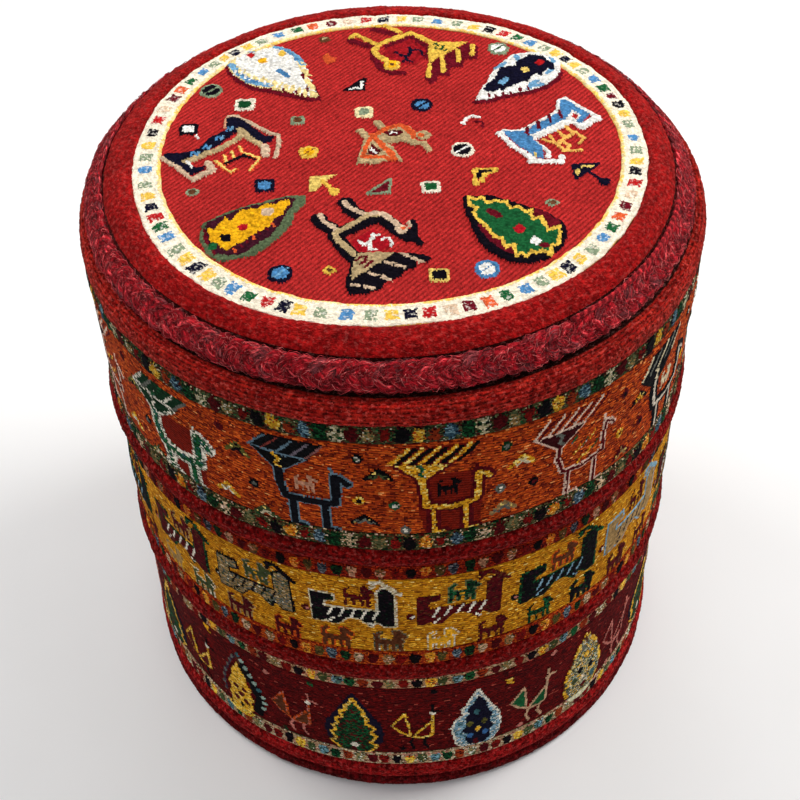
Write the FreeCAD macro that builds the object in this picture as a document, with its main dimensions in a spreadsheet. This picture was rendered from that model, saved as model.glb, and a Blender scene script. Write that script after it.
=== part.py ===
import FreeCAD, Part
import os
import math
import Sketcher

# A round storage pouf. +Z up, millimetres. The origin is the middle of the floor print.
# Two assemblies: the drum, which stands on four glides and is hollow, and the loose
# padded lid, which lies on the drum's rim and is located by a disc under it.

V = FreeCAD.Vector
doc = FreeCAD.newDocument("pouf")
sheet = doc.addObject("Spreadsheet::Sheet", "dims")


class Q:
    """A length with its number, for the first drawing, and its text, for the expression."""

    def __init__(self, number, text):
        self.n = float(number)
        self.s = text

    def _other(self, o):
        return o if isinstance(o, Q) else Q(o, repr(float(o)))

    def __add__(self, o):
        o = self._other(o)
        return Q(self.n + o.n, "(%s + %s)" % (self.s, o.s))

    def __sub__(self, o):
        o = self._other(o)
        return Q(self.n - o.n, "(%s - %s)" % (self.s, o.s))

    def __mul__(self, o):
        o = self._other(o)
        return Q(self.n * o.n, "(%s * %s)" % (self.s, o.s))

    def __truediv__(self, o):
        o = self._other(o)
        return Q(self.n / o.n, "(%s / %s)" % (self.s, o.s))


rows = [0]


def dim(alias, number):
    rows[0] += 1
    cell = "B%d" % rows[0]
    sheet.set("A%d" % rows[0], alias)
    sheet.set(cell, str(number))
    sheet.setAlias(cell, alias)
    return Q(number, "dims." + alias)


# ---- driving dimensions -------------------------------------------------------------
drum_radius = dim("drum_radius", 200.0)          # over the pile stripes
field_radius = dim("field_radius", 198.4)        # over the flat woven bands
cover_inner = dim("cover_inner", 195.7)
wall_outer = dim("wall_outer", 190.0)
wall_inner = dim("wall_inner", 186.0)
ring_inner = dim("ring_inner", 168.0)
ring_thick = dim("ring_thick", 12.0)
board_low = dim("board_low", 5.0)
board_thick = dim("board_thick", 12.0)
ring_top = dim("ring_top", 409.0)
middle_low = dim("middle_low", 203.0)
rim_low = dim("rim_low", 398.4)                  # lower edge of the red pile rim strip
rim_high = dim("rim_high", 413.0)
rim_outer = dim("rim_outer", 199.4)
rim_inner = dim("rim_inner", 164.5)
rim_flap_low = dim("rim_flap_low", 395.0)
lining_thick = dim("lining_thick", 1.5)
lining_gap = dim("lining_gap", 0.1)
post_width = dim("post_width", 38.0)
post_outer = dim("post_outer", 180.3)
post_inner = dim("post_inner", 168.3)
post_count = dim("post_count", 6)
glide_high = dim("glide_high", 3.0)
glide_radius = dim("glide_radius", 11.0)
glide_circle = dim("glide_circle", 150.0)
cloth_thick = dim("cloth_thick", 0.8)
strip_thick = dim("strip_thick", 1.2)
strip_inner = dim("strip_inner", 150.0)
dust_radius = dim("dust_radius", 178.0)
piping_circle = dim("piping_circle", 195.3)
piping_radius = dim("piping_radius", 5.2)
piping_low = dim("piping_low", 1.0)
cover_low = dim("cover_low", 12.4)
stripe_three_high = dim("stripe_three_high", 28.6)
stripe_two_low = dim("stripe_two_low", 143.2)
stripe_two_high = dim("stripe_two_high", 161.6)
stripe_one_low = dim("stripe_one_low", 271.0)
stripe_one_high = dim("stripe_one_high", 286.6)
screw_radius = dim("screw_radius", 2.0)
screw_head = dim("screw_head", 4.1)
screw_length = dim("screw_length", 30.0)
screw_clear = dim("screw_clear", 0.1)
screw_circle = dim("screw_circle", 174.3)
staple_count = dim("staple_count", 24)
staple_circle = dim("staple_circle", 168.0)
staple_crown = dim("staple_crown", 10.0)
staple_wire = dim("staple_wire", 0.7)
lid_shift = dim("lid_shift", 1.5)                # how far the loose lid lies off the axis
lid_gap = dim("lid_gap", 0.3)
lid_board_radius = dim("lid_board_radius", 176.8)
lid_board_thick = dim("lid_board_thick", 9.0)
plug_radius = dim("plug_radius", 157.0)
plug_thick = dim("plug_thick", 9.0)
foam_thick = dim("foam_thick", 11.0)
panel_radius = dim("panel_radius", 160.0)
panel_high = dim("panel_high", 438.4)
crease_radius = dim("crease_radius", 179.2)
crease_high = dim("crease_high", 430.6)
braid_circle = dim("braid_circle", 186.2)
braid_mid = dim("braid_mid", 423.4)
braid_wide = dim("braid_wide", 18.0)
braid_thick = dim("braid_thick", 8.2)
plug_screw_circle = dim("plug_screw_circle", 110.0)
plug_screw_length = dim("plug_screw_length", 16.0)
plug_screw_count = dim("plug_screw_count", 4)
doc.recompute()

subparts = []


def plane(body, role):
    for f in body.Origin.OriginFeatures:
        if f.Role == role:
            return f
    raise RuntimeError("no " + role)


def new_body(label):
    body = doc.addObject("PartDesign::Body", label)
    body.Label = label
    body.AllowCompound = True
    subparts.append(body)
    return body


def attach(sk, body, role, height=None):
    sk.AttachmentSupport = [(plane(body, role), "")]
    sk.MapMode = "FlatFace"
    if height is not None:
        sk.AttachmentOffset = FreeCAD.Placement(V(0, 0, height.n), FreeCAD.Rotation())
        sk.setExpression("AttachmentOffset.Base.z", height.s)


def fix(sk, kind, geo, pos, q):
    """Binds one coordinate of a point to the sheet. A zero lies on the axis."""
    if abs(q.n) < 1e-9:
        sk.addConstraint(Sketcher.Constraint("PointOnObject", geo, pos, -2 if kind == "DistanceX" else -1))
        return
    i = sk.addConstraint(Sketcher.Constraint(kind, -1, 1, geo, pos, q.n))
    sk.setExpression("Constraints[%d]" % i, q.s)


ZERO = Q(0, "0")


def polygon(sk, pts):
    """A closed outline whose corners are all bound to the sheet."""
    pts = [(x if isinstance(x, Q) else Q(x, repr(float(x))), y if isinstance(y, Q) else Q(y, repr(float(y)))) for x, y in pts]
    n = len(pts)
    first = sk.GeometryCount
    for i in range(n):
        a, b = pts[i], pts[(i + 1) % n]
        sk.addGeometry(Part.LineSegment(V(a[0].n, a[1].n, 0), V(b[0].n, b[1].n, 0)), False)
    for i in range(n):
        sk.addConstraint(Sketcher.Constraint("Coincident", first + i, 2, first + (i + 1) % n, 1))
    for i in range(n):
        fix(sk, "DistanceX", first + i, 1, pts[i][0])
        fix(sk, "DistanceY", first + i, 1, pts[i][1])


def circle(sk, cx, cy, r):
    g = sk.addGeometry(Part.Circle(V(cx.n, cy.n, 0), V(0, 0, 1), r.n), False)
    fix(sk, "DistanceX", g, 3, cx)
    fix(sk, "DistanceY", g, 3, cy)
    i = sk.addConstraint(Sketcher.Constraint("Radius", g, r.n))
    sk.setExpression("Constraints[%d]" % i, r.s)


def turned(label, pts):
    """A body of revolution about Z. pts are (radius, height)."""
    body = new_body(label)
    sk = body.newObject("Sketcher::SketchObject", label + "_outline")
    attach(sk, body, "XZ_Plane")
    polygon(sk, pts)
    rev = body.newObject("PartDesign::Revolution", label + "_turn")
    rev.Profile = sk
    rev.ReferenceAxis = (sk, ["V_Axis"])
    rev.Angle = 360.0
    body.Tip = rev
    return body


def axis_line(sk, x, low, high):
    """A construction line to turn about, standing at distance x."""
    g = sk.addGeometry(Part.LineSegment(V(x.n, low, 0), V(x.n, high, 0)), True)
    fix(sk, "DistanceX", g, 1, x)
    fix(sk, "DistanceX", g, 2, x)
    sk.addConstraint(Sketcher.Constraint("DistanceY", -1, 1, g, 1, low))
    sk.addConstraint(Sketcher.Constraint("DistanceY", -1, 1, g, 2, high))


def around(body, feature, count, label):
    """Repeats a feature evenly about Z."""
    pat = body.newObject("PartDesign::PolarPattern", label)
    pat.Originals = [feature]
    pat.Axis = (plane(body, "Z_Axis"), [""])
    pat.Angle = 360.0
    pat.Occurrences = int(count.n)
    pat.setExpression("Occurrences", count.s)
    body.Tip = pat
    return pat


def tilt_start(body, degrees):
    body.Placement = FreeCAD.Placement(V(0, 0, 0), FreeCAD.Rotation(V(0, 0, 1), degrees))


def screw_outline(circle_q, head_z, up, length, grow):
    """Outline of one countersunk screw beside its own axis. up is +1 when the point looks up."""
    x = circle_q
    hr = screw_head + grow if grow else screw_head
    sr = screw_radius + grow if grow else screw_radius

    def z(d):
        return head_z + d if up > 0 else head_z - d

    return [
        (x, z(ZERO)),
        (x + hr, z(ZERO)),
        (x + hr, z(Q(0.6, "0.6"))),
        (x + sr, z(Q(2.9, "2.9"))),
        (x + sr, z(length - 3.0)),
        (x + 0.3, z(length)) if not grow else (x + sr, z(length)),
        (x, z(length)),
    ]


def screws(label, circle_q, head_z, up, length, count, start):
    body = new_body(label)
    sk = body.newObject("Sketcher::SketchObject", label + "_outline")
    attach(sk, body, "XZ_Plane")
    polygon(sk, screw_outline(circle_q, head_z, up, length, None))
    axis_line(sk, circle_q, min(head_z.n, head_z.n + up * length.n) + 1, max(head_z.n, head_z.n + up * length.n) - 1)
    rev = body.newObject("PartDesign::Revolution", label + "_turn")
    rev.Profile = sk
    rev.ReferenceAxis = (sk, ["Axis0"])
    rev.Angle = 360.0
    body.Tip = rev
    around(body, rev, count, label + "_set")
    tilt_start(body, start)
    return body


def screw_holes(body, circle_q, head_z, up, length, count):
    """Countersunk holes for the same screws, cut with a little clearance."""
    doc.recompute()
    before = body.Shape.Volume
    sk = body.newObject("Sketcher::SketchObject", body.Label + "_hole_outline")
    attach(sk, body, "XZ_Plane")
    polygon(sk, screw_outline(circle_q, head_z, up, length, screw_clear))
    axis_line(sk, circle_q, min(head_z.n, head_z.n + up * length.n) + 1, max(head_z.n, head_z.n + up * length.n) - 1)
    cut = body.newObject("PartDesign::Groove", body.Label + "_hole")
    cut.Profile = sk
    cut.ReferenceAxis = (sk, ["Axis0"])
    cut.Angle = 360.0
    body.Tip = cut
    around(body, cut, count, body.Label + "_holes")
    doc.recompute()
    if not body.Shape.Volume < before - 10.0:
        raise RuntimeError(body.Label + ": the holes cut nothing")


# ---- drum: frame ----------------------------------------------------------------------
board_high = board_low + board_thick
ring_low = ring_top - ring_thick
middle_high = middle_low + ring_thick
START = 30.0     # the first upright stands 30 degrees from +X

base_board = turned("base_board", [(ZERO, board_low), (wall_inner, board_low), (wall_inner, board_high), (ZERO, board_high)])
screw_holes(base_board, screw_circle, board_low, 1, screw_length, post_count)
tilt_start(base_board, START)

top_ring = turned("top_ring", [(ring_inner, ring_low), (wall_inner, ring_low), (wall_inner, ring_top), (ring_inner, ring_top)])
screw_holes(top_ring, screw_circle, ring_top, -1, screw_length, post_count)
tilt_start(top_ring, START)

middle_ring = turned("middle_ring", [(ring_inner, middle_low), (wall_inner, middle_low), (wall_inner, middle_high), (ring_inner, middle_high)])
doc.recompute()
ring_volume = middle_ring.Shape.Volume
sk = middle_ring.newObject("Sketcher::SketchObject", "notch_outline")
attach(sk, middle_ring, "XY_Plane", middle_high)
half = post_width / 2.0 + 0.2


def rectangle(sk, low_x, high_x, half_y):
    """A rectangle that is symmetric about the sketch's X axis."""
    f = sk.GeometryCount
    c = [(low_x.n, -half_y.n), (high_x.n, -half_y.n), (high_x.n, half_y.n), (low_x.n, half_y.n)]
    for i in range(4):
        a, b = c[i], c[(i + 1) % 4]
        sk.addGeometry(Part.LineSegment(V(a[0], a[1], 0), V(b[0], b[1], 0)), False)
    for i in range(4):
        sk.addConstraint(Sketcher.Constraint("Coincident", f + i, 2, f + (i + 1) % 4, 1))
    sk.addConstraint(Sketcher.Constraint("Horizontal", f))
    sk.addConstraint(Sketcher.Constraint("Vertical", f + 1))
    sk.addConstraint(Sketcher.Constraint("Horizontal", f + 2))
    sk.addConstraint(Sketcher.Constraint("Symmetric", f, 1, f + 2, 2, -1))
    i = sk.addConstraint(Sketcher.Constraint("DistanceX", -1, 1, f, 1, low_x.n))
    sk.setExpression("Constraints[%d]" % i, low_x.s)
    i = sk.addConstraint(Sketcher.Constraint("DistanceX", -1, 1, f, 2, high_x.n))
    sk.setExpression("Constraints[%d]" % i, high_x.s)
    i = sk.addConstraint(Sketcher.Constraint("DistanceY", f + 1, 1, f + 1, 2, 2 * half_y.n))
    sk.setExpression("Constraints[%d]" % i, (half_y * 2.0).s)


# the notches keep 5.6 mm of ring outside each post, so the ring stays one piece
rectangle(sk, ring_inner - 4.0, post_outer + 0.1, half)
notch = middle_ring.newObject("PartDesign::Pocket", "notch")
notch.Profile = sk
notch.Length = ring_thick.n
notch.setExpression("Length", ring_thick.s)
middle_ring.Tip = notch
around(middle_ring, notch, post_count, "notches")
tilt_start(middle_ring, START)
doc.recompute()
if not middle_ring.Shape.Volume < ring_volume - 1000.0:
    raise RuntimeError("the notches cut nothing")

for k in range(int(post_count.n)):
    body = new_body("upright_%d" % (k + 1))
    sk = body.newObject("Sketcher::SketchObject", "post_section_%d" % (k + 1))
    attach(sk, body, "XY_Plane", board_high)
    rectangle(sk, post_inner, post_outer, post_width / 2.0)
    pad = body.newObject("PartDesign::Pad", "post_%d" % (k + 1))
    pad.Profile = sk
    tall = ring_low - board_high
    pad.Length = tall.n
    pad.setExpression("Length", tall.s)
    body.Tip = pad
    doc.recompute()
    for name, z_q, turned_over in (("low", board_high, False), ("high", ring_low, True)):
        was = body.Shape.Volume
        hs = body.newObject("Sketcher::SketchObject", "pilot_%s_%d" % (name, k + 1))
        attach(hs, body, "XY_Plane", z_q)
        circle(hs, screw_circle, ZERO, screw_radius + screw_clear)
        pk = body.newObject("PartDesign::Pocket", "pilot_hole_%s_%d" % (name, k + 1))
        pk.Profile = hs
        deep = screw_length - board_thick + 1.0
        pk.Length = deep.n
        pk.setExpression("Length", deep.s)
        pk.Reversed = not turned_over
        body.Tip = pk
        doc.recompute()
        if not body.Shape.Volume < was - 100.0:
            raise RuntimeError("%s: the pilot hole cuts nothing" % body.Label)
    tilt_start(body, START + 60.0 * k)

screws("base_screws", screw_circle, board_low, 1, screw_length, post_count, START)
screws("top_ring_screws", screw_circle, ring_top, -1, screw_length, post_count, START)

turned("wall_shell", [(wall_inner, board_low), (wall_outer, board_low), (wall_outer, ring_top), (wall_inner, ring_top)])
turned("wall_padding", [(wall_outer, cover_low), (cover_inner - 0.1, cover_low), (cover_inner - 0.1, ring_top), (wall_outer, ring_top)])

# ---- drum: textile --------------------------------------------------------------------
turned("side_cover", [
    (cover_inner, cover_low),
    (drum_radius, cover_low),
    (drum_radius, stripe_three_high),
    (field_radius, stripe_three_high),
    (field_radius, stripe_two_low),
    (drum_radius, stripe_two_low),
    (drum_radius, stripe_two_high),
    (field_radius, stripe_two_high),
    (field_radius, stripe_one_low),
    (drum_radius, stripe_one_low),
    (drum_radius, stripe_one_high),
    (field_radius, stripe_one_high),
    (field_radius, rim_low - 0.1),
    (cover_inner, rim_low - 0.1),
])
turned("rim_band", [
    (cover_inner + 0.1, rim_low),
    (rim_outer, rim_low),
    (rim_outer, rim_high - 5.0),
    (rim_outer - 1.6, rim_high - 1.8),
    (rim_outer - 5.5, rim_high),
    (ring_inner + 3.0, rim_high),
    (ring_inner - 1.6, rim_high - 1.8),
    (rim_inner, rim_high - 5.5),
    (rim_inner, rim_flap_low),
    (ring_inner - lining_gap, rim_flap_low),
    (ring_inner - lining_gap, ring_top + 0.1),
    (cover_inner + 0.1, ring_top + 0.1),
])
lining_outer = ring_inner - lining_gap
turned("lining_floor", [(ZERO, board_high), (lining_outer, board_high), (lining_outer, board_high + lining_thick), (ZERO, board_high + lining_thick)])
turned("lining_wall", [
    (lining_outer - lining_thick, board_high + lining_thick),
    (lining_outer, board_high + lining_thick),
    (lining_outer, rim_flap_low - 0.1),
    (lining_outer - lining_thick, rim_flap_low - 0.1),
])

piping = doc.addObject("Part::Torus", "base_piping")
piping.Label = "base_piping"
piping.setExpression("Radius1", piping_circle.s)
piping.setExpression("Radius2", piping_radius.s)
piping.Placement = FreeCAD.Placement(V(0, 0, piping_low.n + piping_radius.n), FreeCAD.Rotation())
piping.setExpression("Placement.Base.z", (piping_low + piping_radius).s)
subparts.append(piping)

turned("under_strip", [
    (strip_inner, board_low - strip_thick),
    (wall_outer, board_low - strip_thick),
    (wall_outer, board_low),
    (strip_inner, board_low),
])
turned("dust_cover", [
    (ZERO, board_low - strip_thick - cloth_thick),
    (dust_radius, board_low - strip_thick - cloth_thick),
    (dust_radius, board_low - strip_thick),
    (ZERO, board_low - strip_thick),
])

# ---- drum: glides, nails, staples -------------------------------------------------------
for k in range(4):
    body = new_body("glide_%d" % (k + 1))
    sk = body.newObject("Sketcher::SketchObject", "glide_outline_%d" % (k + 1))
    attach(sk, body, "XZ_Plane")
    c = glide_circle
    polygon(sk, [
        (c + 4.2, ZERO),
        (c + glide_radius - 1.0, ZERO),
        (c + glide_radius, Q(0.9, "0.9")),
        (c + glide_radius, glide_high),
        (c + 1.3, glide_high),
        (c + 1.3, Q(1.6, "1.6")),
        (c + 4.2, Q(1.6, "1.6")),
    ])
    axis_line(sk, c, 0.2, 2.8)
    rev = body.newObject("PartDesign::Revolution", "glide_turn_%d" % (k + 1))
    rev.Profile = sk
    rev.ReferenceAxis = (sk, ["Axis0"])
    rev.Angle = 360.0
    body.Tip = rev
    tilt_start(body, 45.0 + 90.0 * k)

body = new_body("glide_nails")
sk = body.newObject("Sketcher::SketchObject", "nail_outline")
attach(sk, body, "XZ_Plane")
c = glide_circle
polygon(sk, [
    (c, Q(0.5, "0.5")),
    (c + 3.4, Q(0.5, "0.5")),
    (c + 4.0, Q(1.0, "1.0")),
    (c + 4.0, Q(1.5, "1.5")),
    (c + 1.2, Q(1.5, "1.5")),
    (c + 1.2, board_low + 8.0),
    (c, board_low + 10.0),
])
axis_line(sk, c, 1.0, 14.0)
rev = body.newObject("PartDesign::Revolution", "nail_turn")
rev.Profile = sk
rev.ReferenceAxis = (sk, ["Axis0"])
rev.Angle = 360.0
body.Tip = rev
around(body, rev, Q(4, "4"), "nail_set")
tilt_start(body, 45.0)

# a staple is a flat wire bridge: its crown lies on the dust cover, its legs go up into the board
body = new_body("base_staples")
sk = body.newObject("Sketcher::SketchObject", "staple_outline")
attach(sk, body, "YZ_Plane", staple_circle - staple_wire)
low = board_low - strip_thick - cloth_thick - staple_wire
a = staple_crown / 2.0
w = staple_wire
top = board_low + 6.0


def mirror(q):
    return Q(-q.n, "(0 - %s)" % q.s)


polygon(sk, [
    (mirror(a), low),
    (a, low),
    (a, top),
    (a - w, top),
    (a - w, low + w),
    (mirror(a - w), low + w),
    (mirror(a - w), top),
    (mirror(a), top),
])
pad = body.newObject("PartDesign::Pad", "staple_wire_pad")
pad.Profile = sk
pad.Length = 1.4
pad.setExpression("Length", (staple_wire * 2.0).s)
body.Tip = pad
around(body, pad, staple_count, "staple_set")
tilt_start(body, 7.5)

# ---- lid ------------------------------------------------------------------------------
cloth = Q(1.0, "1.0")
lid_low = rim_high + lid_gap
lid_board_low = lid_low + cloth
lid_board_high = lid_board_low + lid_board_thick
foam_high = lid_board_high + foam_thick
lid_bodies = []


def lid_turned(label, pts):
    body = turned(label, pts)
    lid_bodies.append(body)
    return body


b = lid_turned("lid_board", [(ZERO, lid_board_low), (lid_board_radius, lid_board_low), (lid_board_radius, lid_board_high), (ZERO, lid_board_high)])
screw_holes(b, plug_screw_circle, lid_board_low - plug_thick, 1, plug_screw_length, plug_screw_count)
b = lid_turned("lid_plug", [
    (ZERO, lid_board_low - plug_thick),
    (plug_radius - 1.5, lid_board_low - plug_thick),
    (plug_radius, lid_board_low - plug_thick + 1.5),
    (plug_radius, lid_board_low),
    (ZERO, lid_board_low),
])
screw_holes(b, plug_screw_circle, lid_board_low - plug_thick, 1, plug_screw_length, plug_screw_count)
lid_turned("lid_foam", [
    (ZERO, lid_board_high),
    (lid_board_radius, lid_board_high),
    (lid_board_radius, lid_board_high + 2.6),
    (lid_board_radius - 4.0, lid_board_high + 6.0),
    (lid_board_radius - 11.0, foam_high - 1.0),
    (panel_radius, foam_high),
    (ZERO, foam_high + 0.5),
])
lid_turned("lid_top_panel", [
    (ZERO, foam_high + 0.6),
    (panel_radius - 0.1, foam_high + 0.1),
    (panel_radius - 0.1, panel_high - 0.8),
    (panel_radius - 30.0, panel_high),
    (ZERO, panel_high),
])
lid_turned("lid_pile_border", [
    (lid_board_radius + 0.1, lid_low + cloth),
    (lid_board_radius + 2.3, lid_low + cloth),
    (lid_board_radius + 2.3, lid_board_high + 1.0),
    (crease_radius, crease_high - 3.0),
    (crease_radius, crease_high),
    (crease_radius - 4.0, crease_high + 3.4),
    (crease_radius - 11.0, crease_high + 6.6),
    (panel_radius + 4.0, panel_high),
    (panel_radius, panel_high),
    (panel_radius, foam_high + 0.2),
    (lid_board_radius - 10.9, foam_high - 0.8),
    (lid_board_radius - 3.8, lid_board_high + 6.2),
    (lid_board_radius + 0.1, lid_board_high + 2.9),
])

# the plait is a flattened ring, tipped 48 degrees, from the crease down to the lid's lower edge
ca, sa = math.cos(math.radians(48.0)), math.sin(math.radians(48.0))
pts = []
for k in range(12):
    t = 2.0 * math.pi * k / 12.0
    u, w2 = math.cos(t) / 2.0, math.sin(t) / 2.0
    r_q = braid_circle + braid_wide * (u * ca) + braid_thick * (w2 * sa)
    z_q = braid_mid - braid_wide * (u * sa) + braid_thick * (w2 * ca)
    pts.append((r_q, z_q))
lid_turned("lid_braid", pts)

lid_turned("lid_underside_cloth", [
    (plug_radius + 0.1, lid_low),
    (lid_board_radius + 2.3, lid_low),
    (lid_board_radius + 2.3, lid_board_low),
    (plug_radius + 0.1, lid_board_low),
])
lid_turned("lid_plug_cloth", [
    (ZERO, lid_board_low - plug_thick - cloth),
    (plug_radius - 0.5, lid_board_low - plug_thick - cloth),
    (plug_radius + 1.1, lid_board_low - plug_thick + 0.6),
    (plug_radius + 1.1, lid_low - 0.1),
    (plug_radius + 0.1, lid_low - 0.1),
    (plug_radius + 0.1, lid_board_low - plug_thick + 1.4),
    (plug_radius - 1.4, lid_board_low - plug_thick - 0.1),
    (ZERO, lid_board_low - plug_thick - 0.1),
])
lid_bodies.append(screws("lid_plug_screws", plug_screw_circle, lid_board_low - plug_thick, 1, plug_screw_length, plug_screw_count, 0.0))
for b in lid_bodies:
    b.setExpression("Placement.Base.x", "0 - dims.lid_shift")

# ---- check and write ------------------------------------------------------------------
doc.recompute()
bad = []
for o in doc.Objects:
    state = list(o.State)
    if "Invalid" in state or "Error" in state:
        bad.append("%s %s" % (o.Name, state))
for o in subparts:
    if o.Shape.isNull() or not o.Shape.isValid() or o.Shape.Volume < 1.0:
        bad.append("%s has no valid solid" % o.Label)
if bad:
    raise RuntimeError("; ".join(bad))
if len({o.Label for o in subparts}) != len(subparts):
    raise RuntimeError("two sub-parts share a label")

os.makedirs("parts", exist_ok=True)
total = 0.0
for o in subparts:
    o.Shape.exportStep("parts/%s.step" % o.Label)
    total += o.Shape.Volume
    box = o.Shape.BoundBox
    print("%-22s %2d solids %11.0f mm3  z %7.2f..%7.2f  x %8.2f..%8.2f" % (o.Label, len(o.Shape.Solids), o.Shape.Volume, box.ZMin, box.ZMax, box.XMin, box.XMax))
print("%d nodes, %.0f cm3 of material" % (len(subparts), total / 1000.0))
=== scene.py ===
import bpy
import math
import numpy as np
from mathutils import Matrix, Vector


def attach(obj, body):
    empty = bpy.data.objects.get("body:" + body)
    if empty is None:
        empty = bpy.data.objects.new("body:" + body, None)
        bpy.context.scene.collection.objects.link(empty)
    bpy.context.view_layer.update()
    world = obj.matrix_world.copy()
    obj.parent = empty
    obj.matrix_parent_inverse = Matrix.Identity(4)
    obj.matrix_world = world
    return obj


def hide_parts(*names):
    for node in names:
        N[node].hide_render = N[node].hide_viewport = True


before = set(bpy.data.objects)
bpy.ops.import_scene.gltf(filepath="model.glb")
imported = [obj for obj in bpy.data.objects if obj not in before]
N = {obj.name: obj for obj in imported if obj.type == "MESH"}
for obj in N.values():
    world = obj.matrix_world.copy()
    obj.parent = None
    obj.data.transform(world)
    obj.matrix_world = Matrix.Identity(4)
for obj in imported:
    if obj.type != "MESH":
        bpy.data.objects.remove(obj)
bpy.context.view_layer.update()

# A round storage pouf covered in woven textile. Metres in the frame, millimetres in the
# drawing of the textile. a is the bearing round the drum: 0 faces the camera (-Y),
# positive to the right (+X). The lid lies LID_X off the drum's axis.
MM = 0.001
LID_X = -1.5
rng = np.random.default_rng(77)


# =====================================================================================
# camera, floor, light
# =====================================================================================
def make_camera():
    pitch, yaw, roll = math.radians(46.39), math.radians(0.13), math.radians(-1.48)
    f = Vector((math.sin(yaw) * math.cos(pitch), math.cos(yaw) * math.cos(pitch), -math.sin(pitch)))
    r0 = Vector((math.cos(yaw), -math.sin(yaw), 0.0))
    u0 = r0.cross(f)
    r = math.cos(roll) * r0 + math.sin(roll) * u0
    u = -math.sin(roll) * r0 + math.cos(roll) * u0
    data = bpy.data.cameras.new("camera")
    data.sensor_width = 36.0
    data.sensor_fit = "HORIZONTAL"
    data.lens = 1397.0 / 800.0 * 36.0
    data.clip_start, data.clip_end = 0.01, 50.0
    cam = bpy.data.objects.new("camera", data)
    m = Matrix.Identity(4)
    for i in range(3):
        m[i][0], m[i][1], m[i][2] = r[i], u[i], -f[i]
    m[0][3], m[1][3], m[2][3] = 0.0, -0.7144, 0.9608
    cam.matrix_world = m
    bpy.context.collection.objects.link(cam)
    bpy.context.scene.camera = cam
    return cam


def aim(obj, target):
    d = Vector(target) - obj.location
    obj.rotation_euler = d.to_track_quat("-Z", "Y").to_euler()


def area_light(name, loc, target, size, power, color=(1, 1, 1)):
    d = bpy.data.lights.new(name, "AREA")
    d.shape = "DISK"
    d.size = size
    d.energy = power
    d.color = color
    o = bpy.data.objects.new(name, d)
    o.location = loc
    bpy.context.collection.objects.link(o)
    aim(o, target)
    return o


make_camera()
area_light("key_right", (1.45, 0.45, 1.65), (0, 0, 0.4), 0.9, 33.0, (1.0, 0.985, 0.96))
area_light("key_left", (-1.2, 0.5, 1.75), (0, 0, 0.4), 1.0, 19.0, (1.0, 0.985, 0.96))
area_light("front_fill", (0.1, -2.3, 1.3), (0, 0, 0.2), 1.5, 5.0, (1.0, 0.98, 0.96))
area_light("back_fill", (-0.2, 2.3, 1.4), (0, 0, 0.25), 1.6, 7.0, (1.0, 0.99, 0.98))

world = bpy.data.worlds.new("studio")
bpy.context.scene.world = world
world.use_nodes = True
wn = world.node_tree.nodes
wn["Background"].inputs["Color"].default_value = (0.95, 0.96, 1.0, 1.0)
wn["Background"].inputs["Strength"].default_value = 0.40
bpy.context.scene.view_settings.view_transform = "Standard"


# =====================================================================================
# colours
# =====================================================================================
def lin(rgb):
    c = np.array(rgb, dtype=float) / 255.0
    return np.where(c <= 0.04045, c / 12.92, ((c + 0.055) / 1.055) ** 2.4)


def col4(rgb):
    v = lin(rgb)
    return (float(v[0]), float(v[1]), float(v[2]), 1.0)


# wool of the lid, in full light
T = {k: lin(v) for k, v in {
    "ground": (174, 40, 39), "white": (246, 242, 234), "cream": (240, 230, 208), "gold": (242, 176, 24),
    "yellow": (238, 192, 76), "lemon": (240, 206, 110), "navy": (15, 14, 36), "black": (14, 10, 20),
    "blue": (76, 134, 184), "sky": (112, 164, 200), "green": (26, 92, 50), "dkgreen": (20, 72, 38),
    "gg": (134, 150, 120), "sage": (92, 108, 76), "orange": (222, 92, 46), "crimson": (176, 20, 34),
    "maroon": (104, 14, 30), "deep": (84, 8, 18), "beige": (214, 184, 154), "tan": (190, 164, 120),
    "red": (186, 26, 30), "brown": (108, 66, 42), "plum": (62, 18, 34), "peach": (226, 164, 128),
    "ring": (240, 228, 204), "pale": (250, 222, 150),
}.items()}


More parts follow.
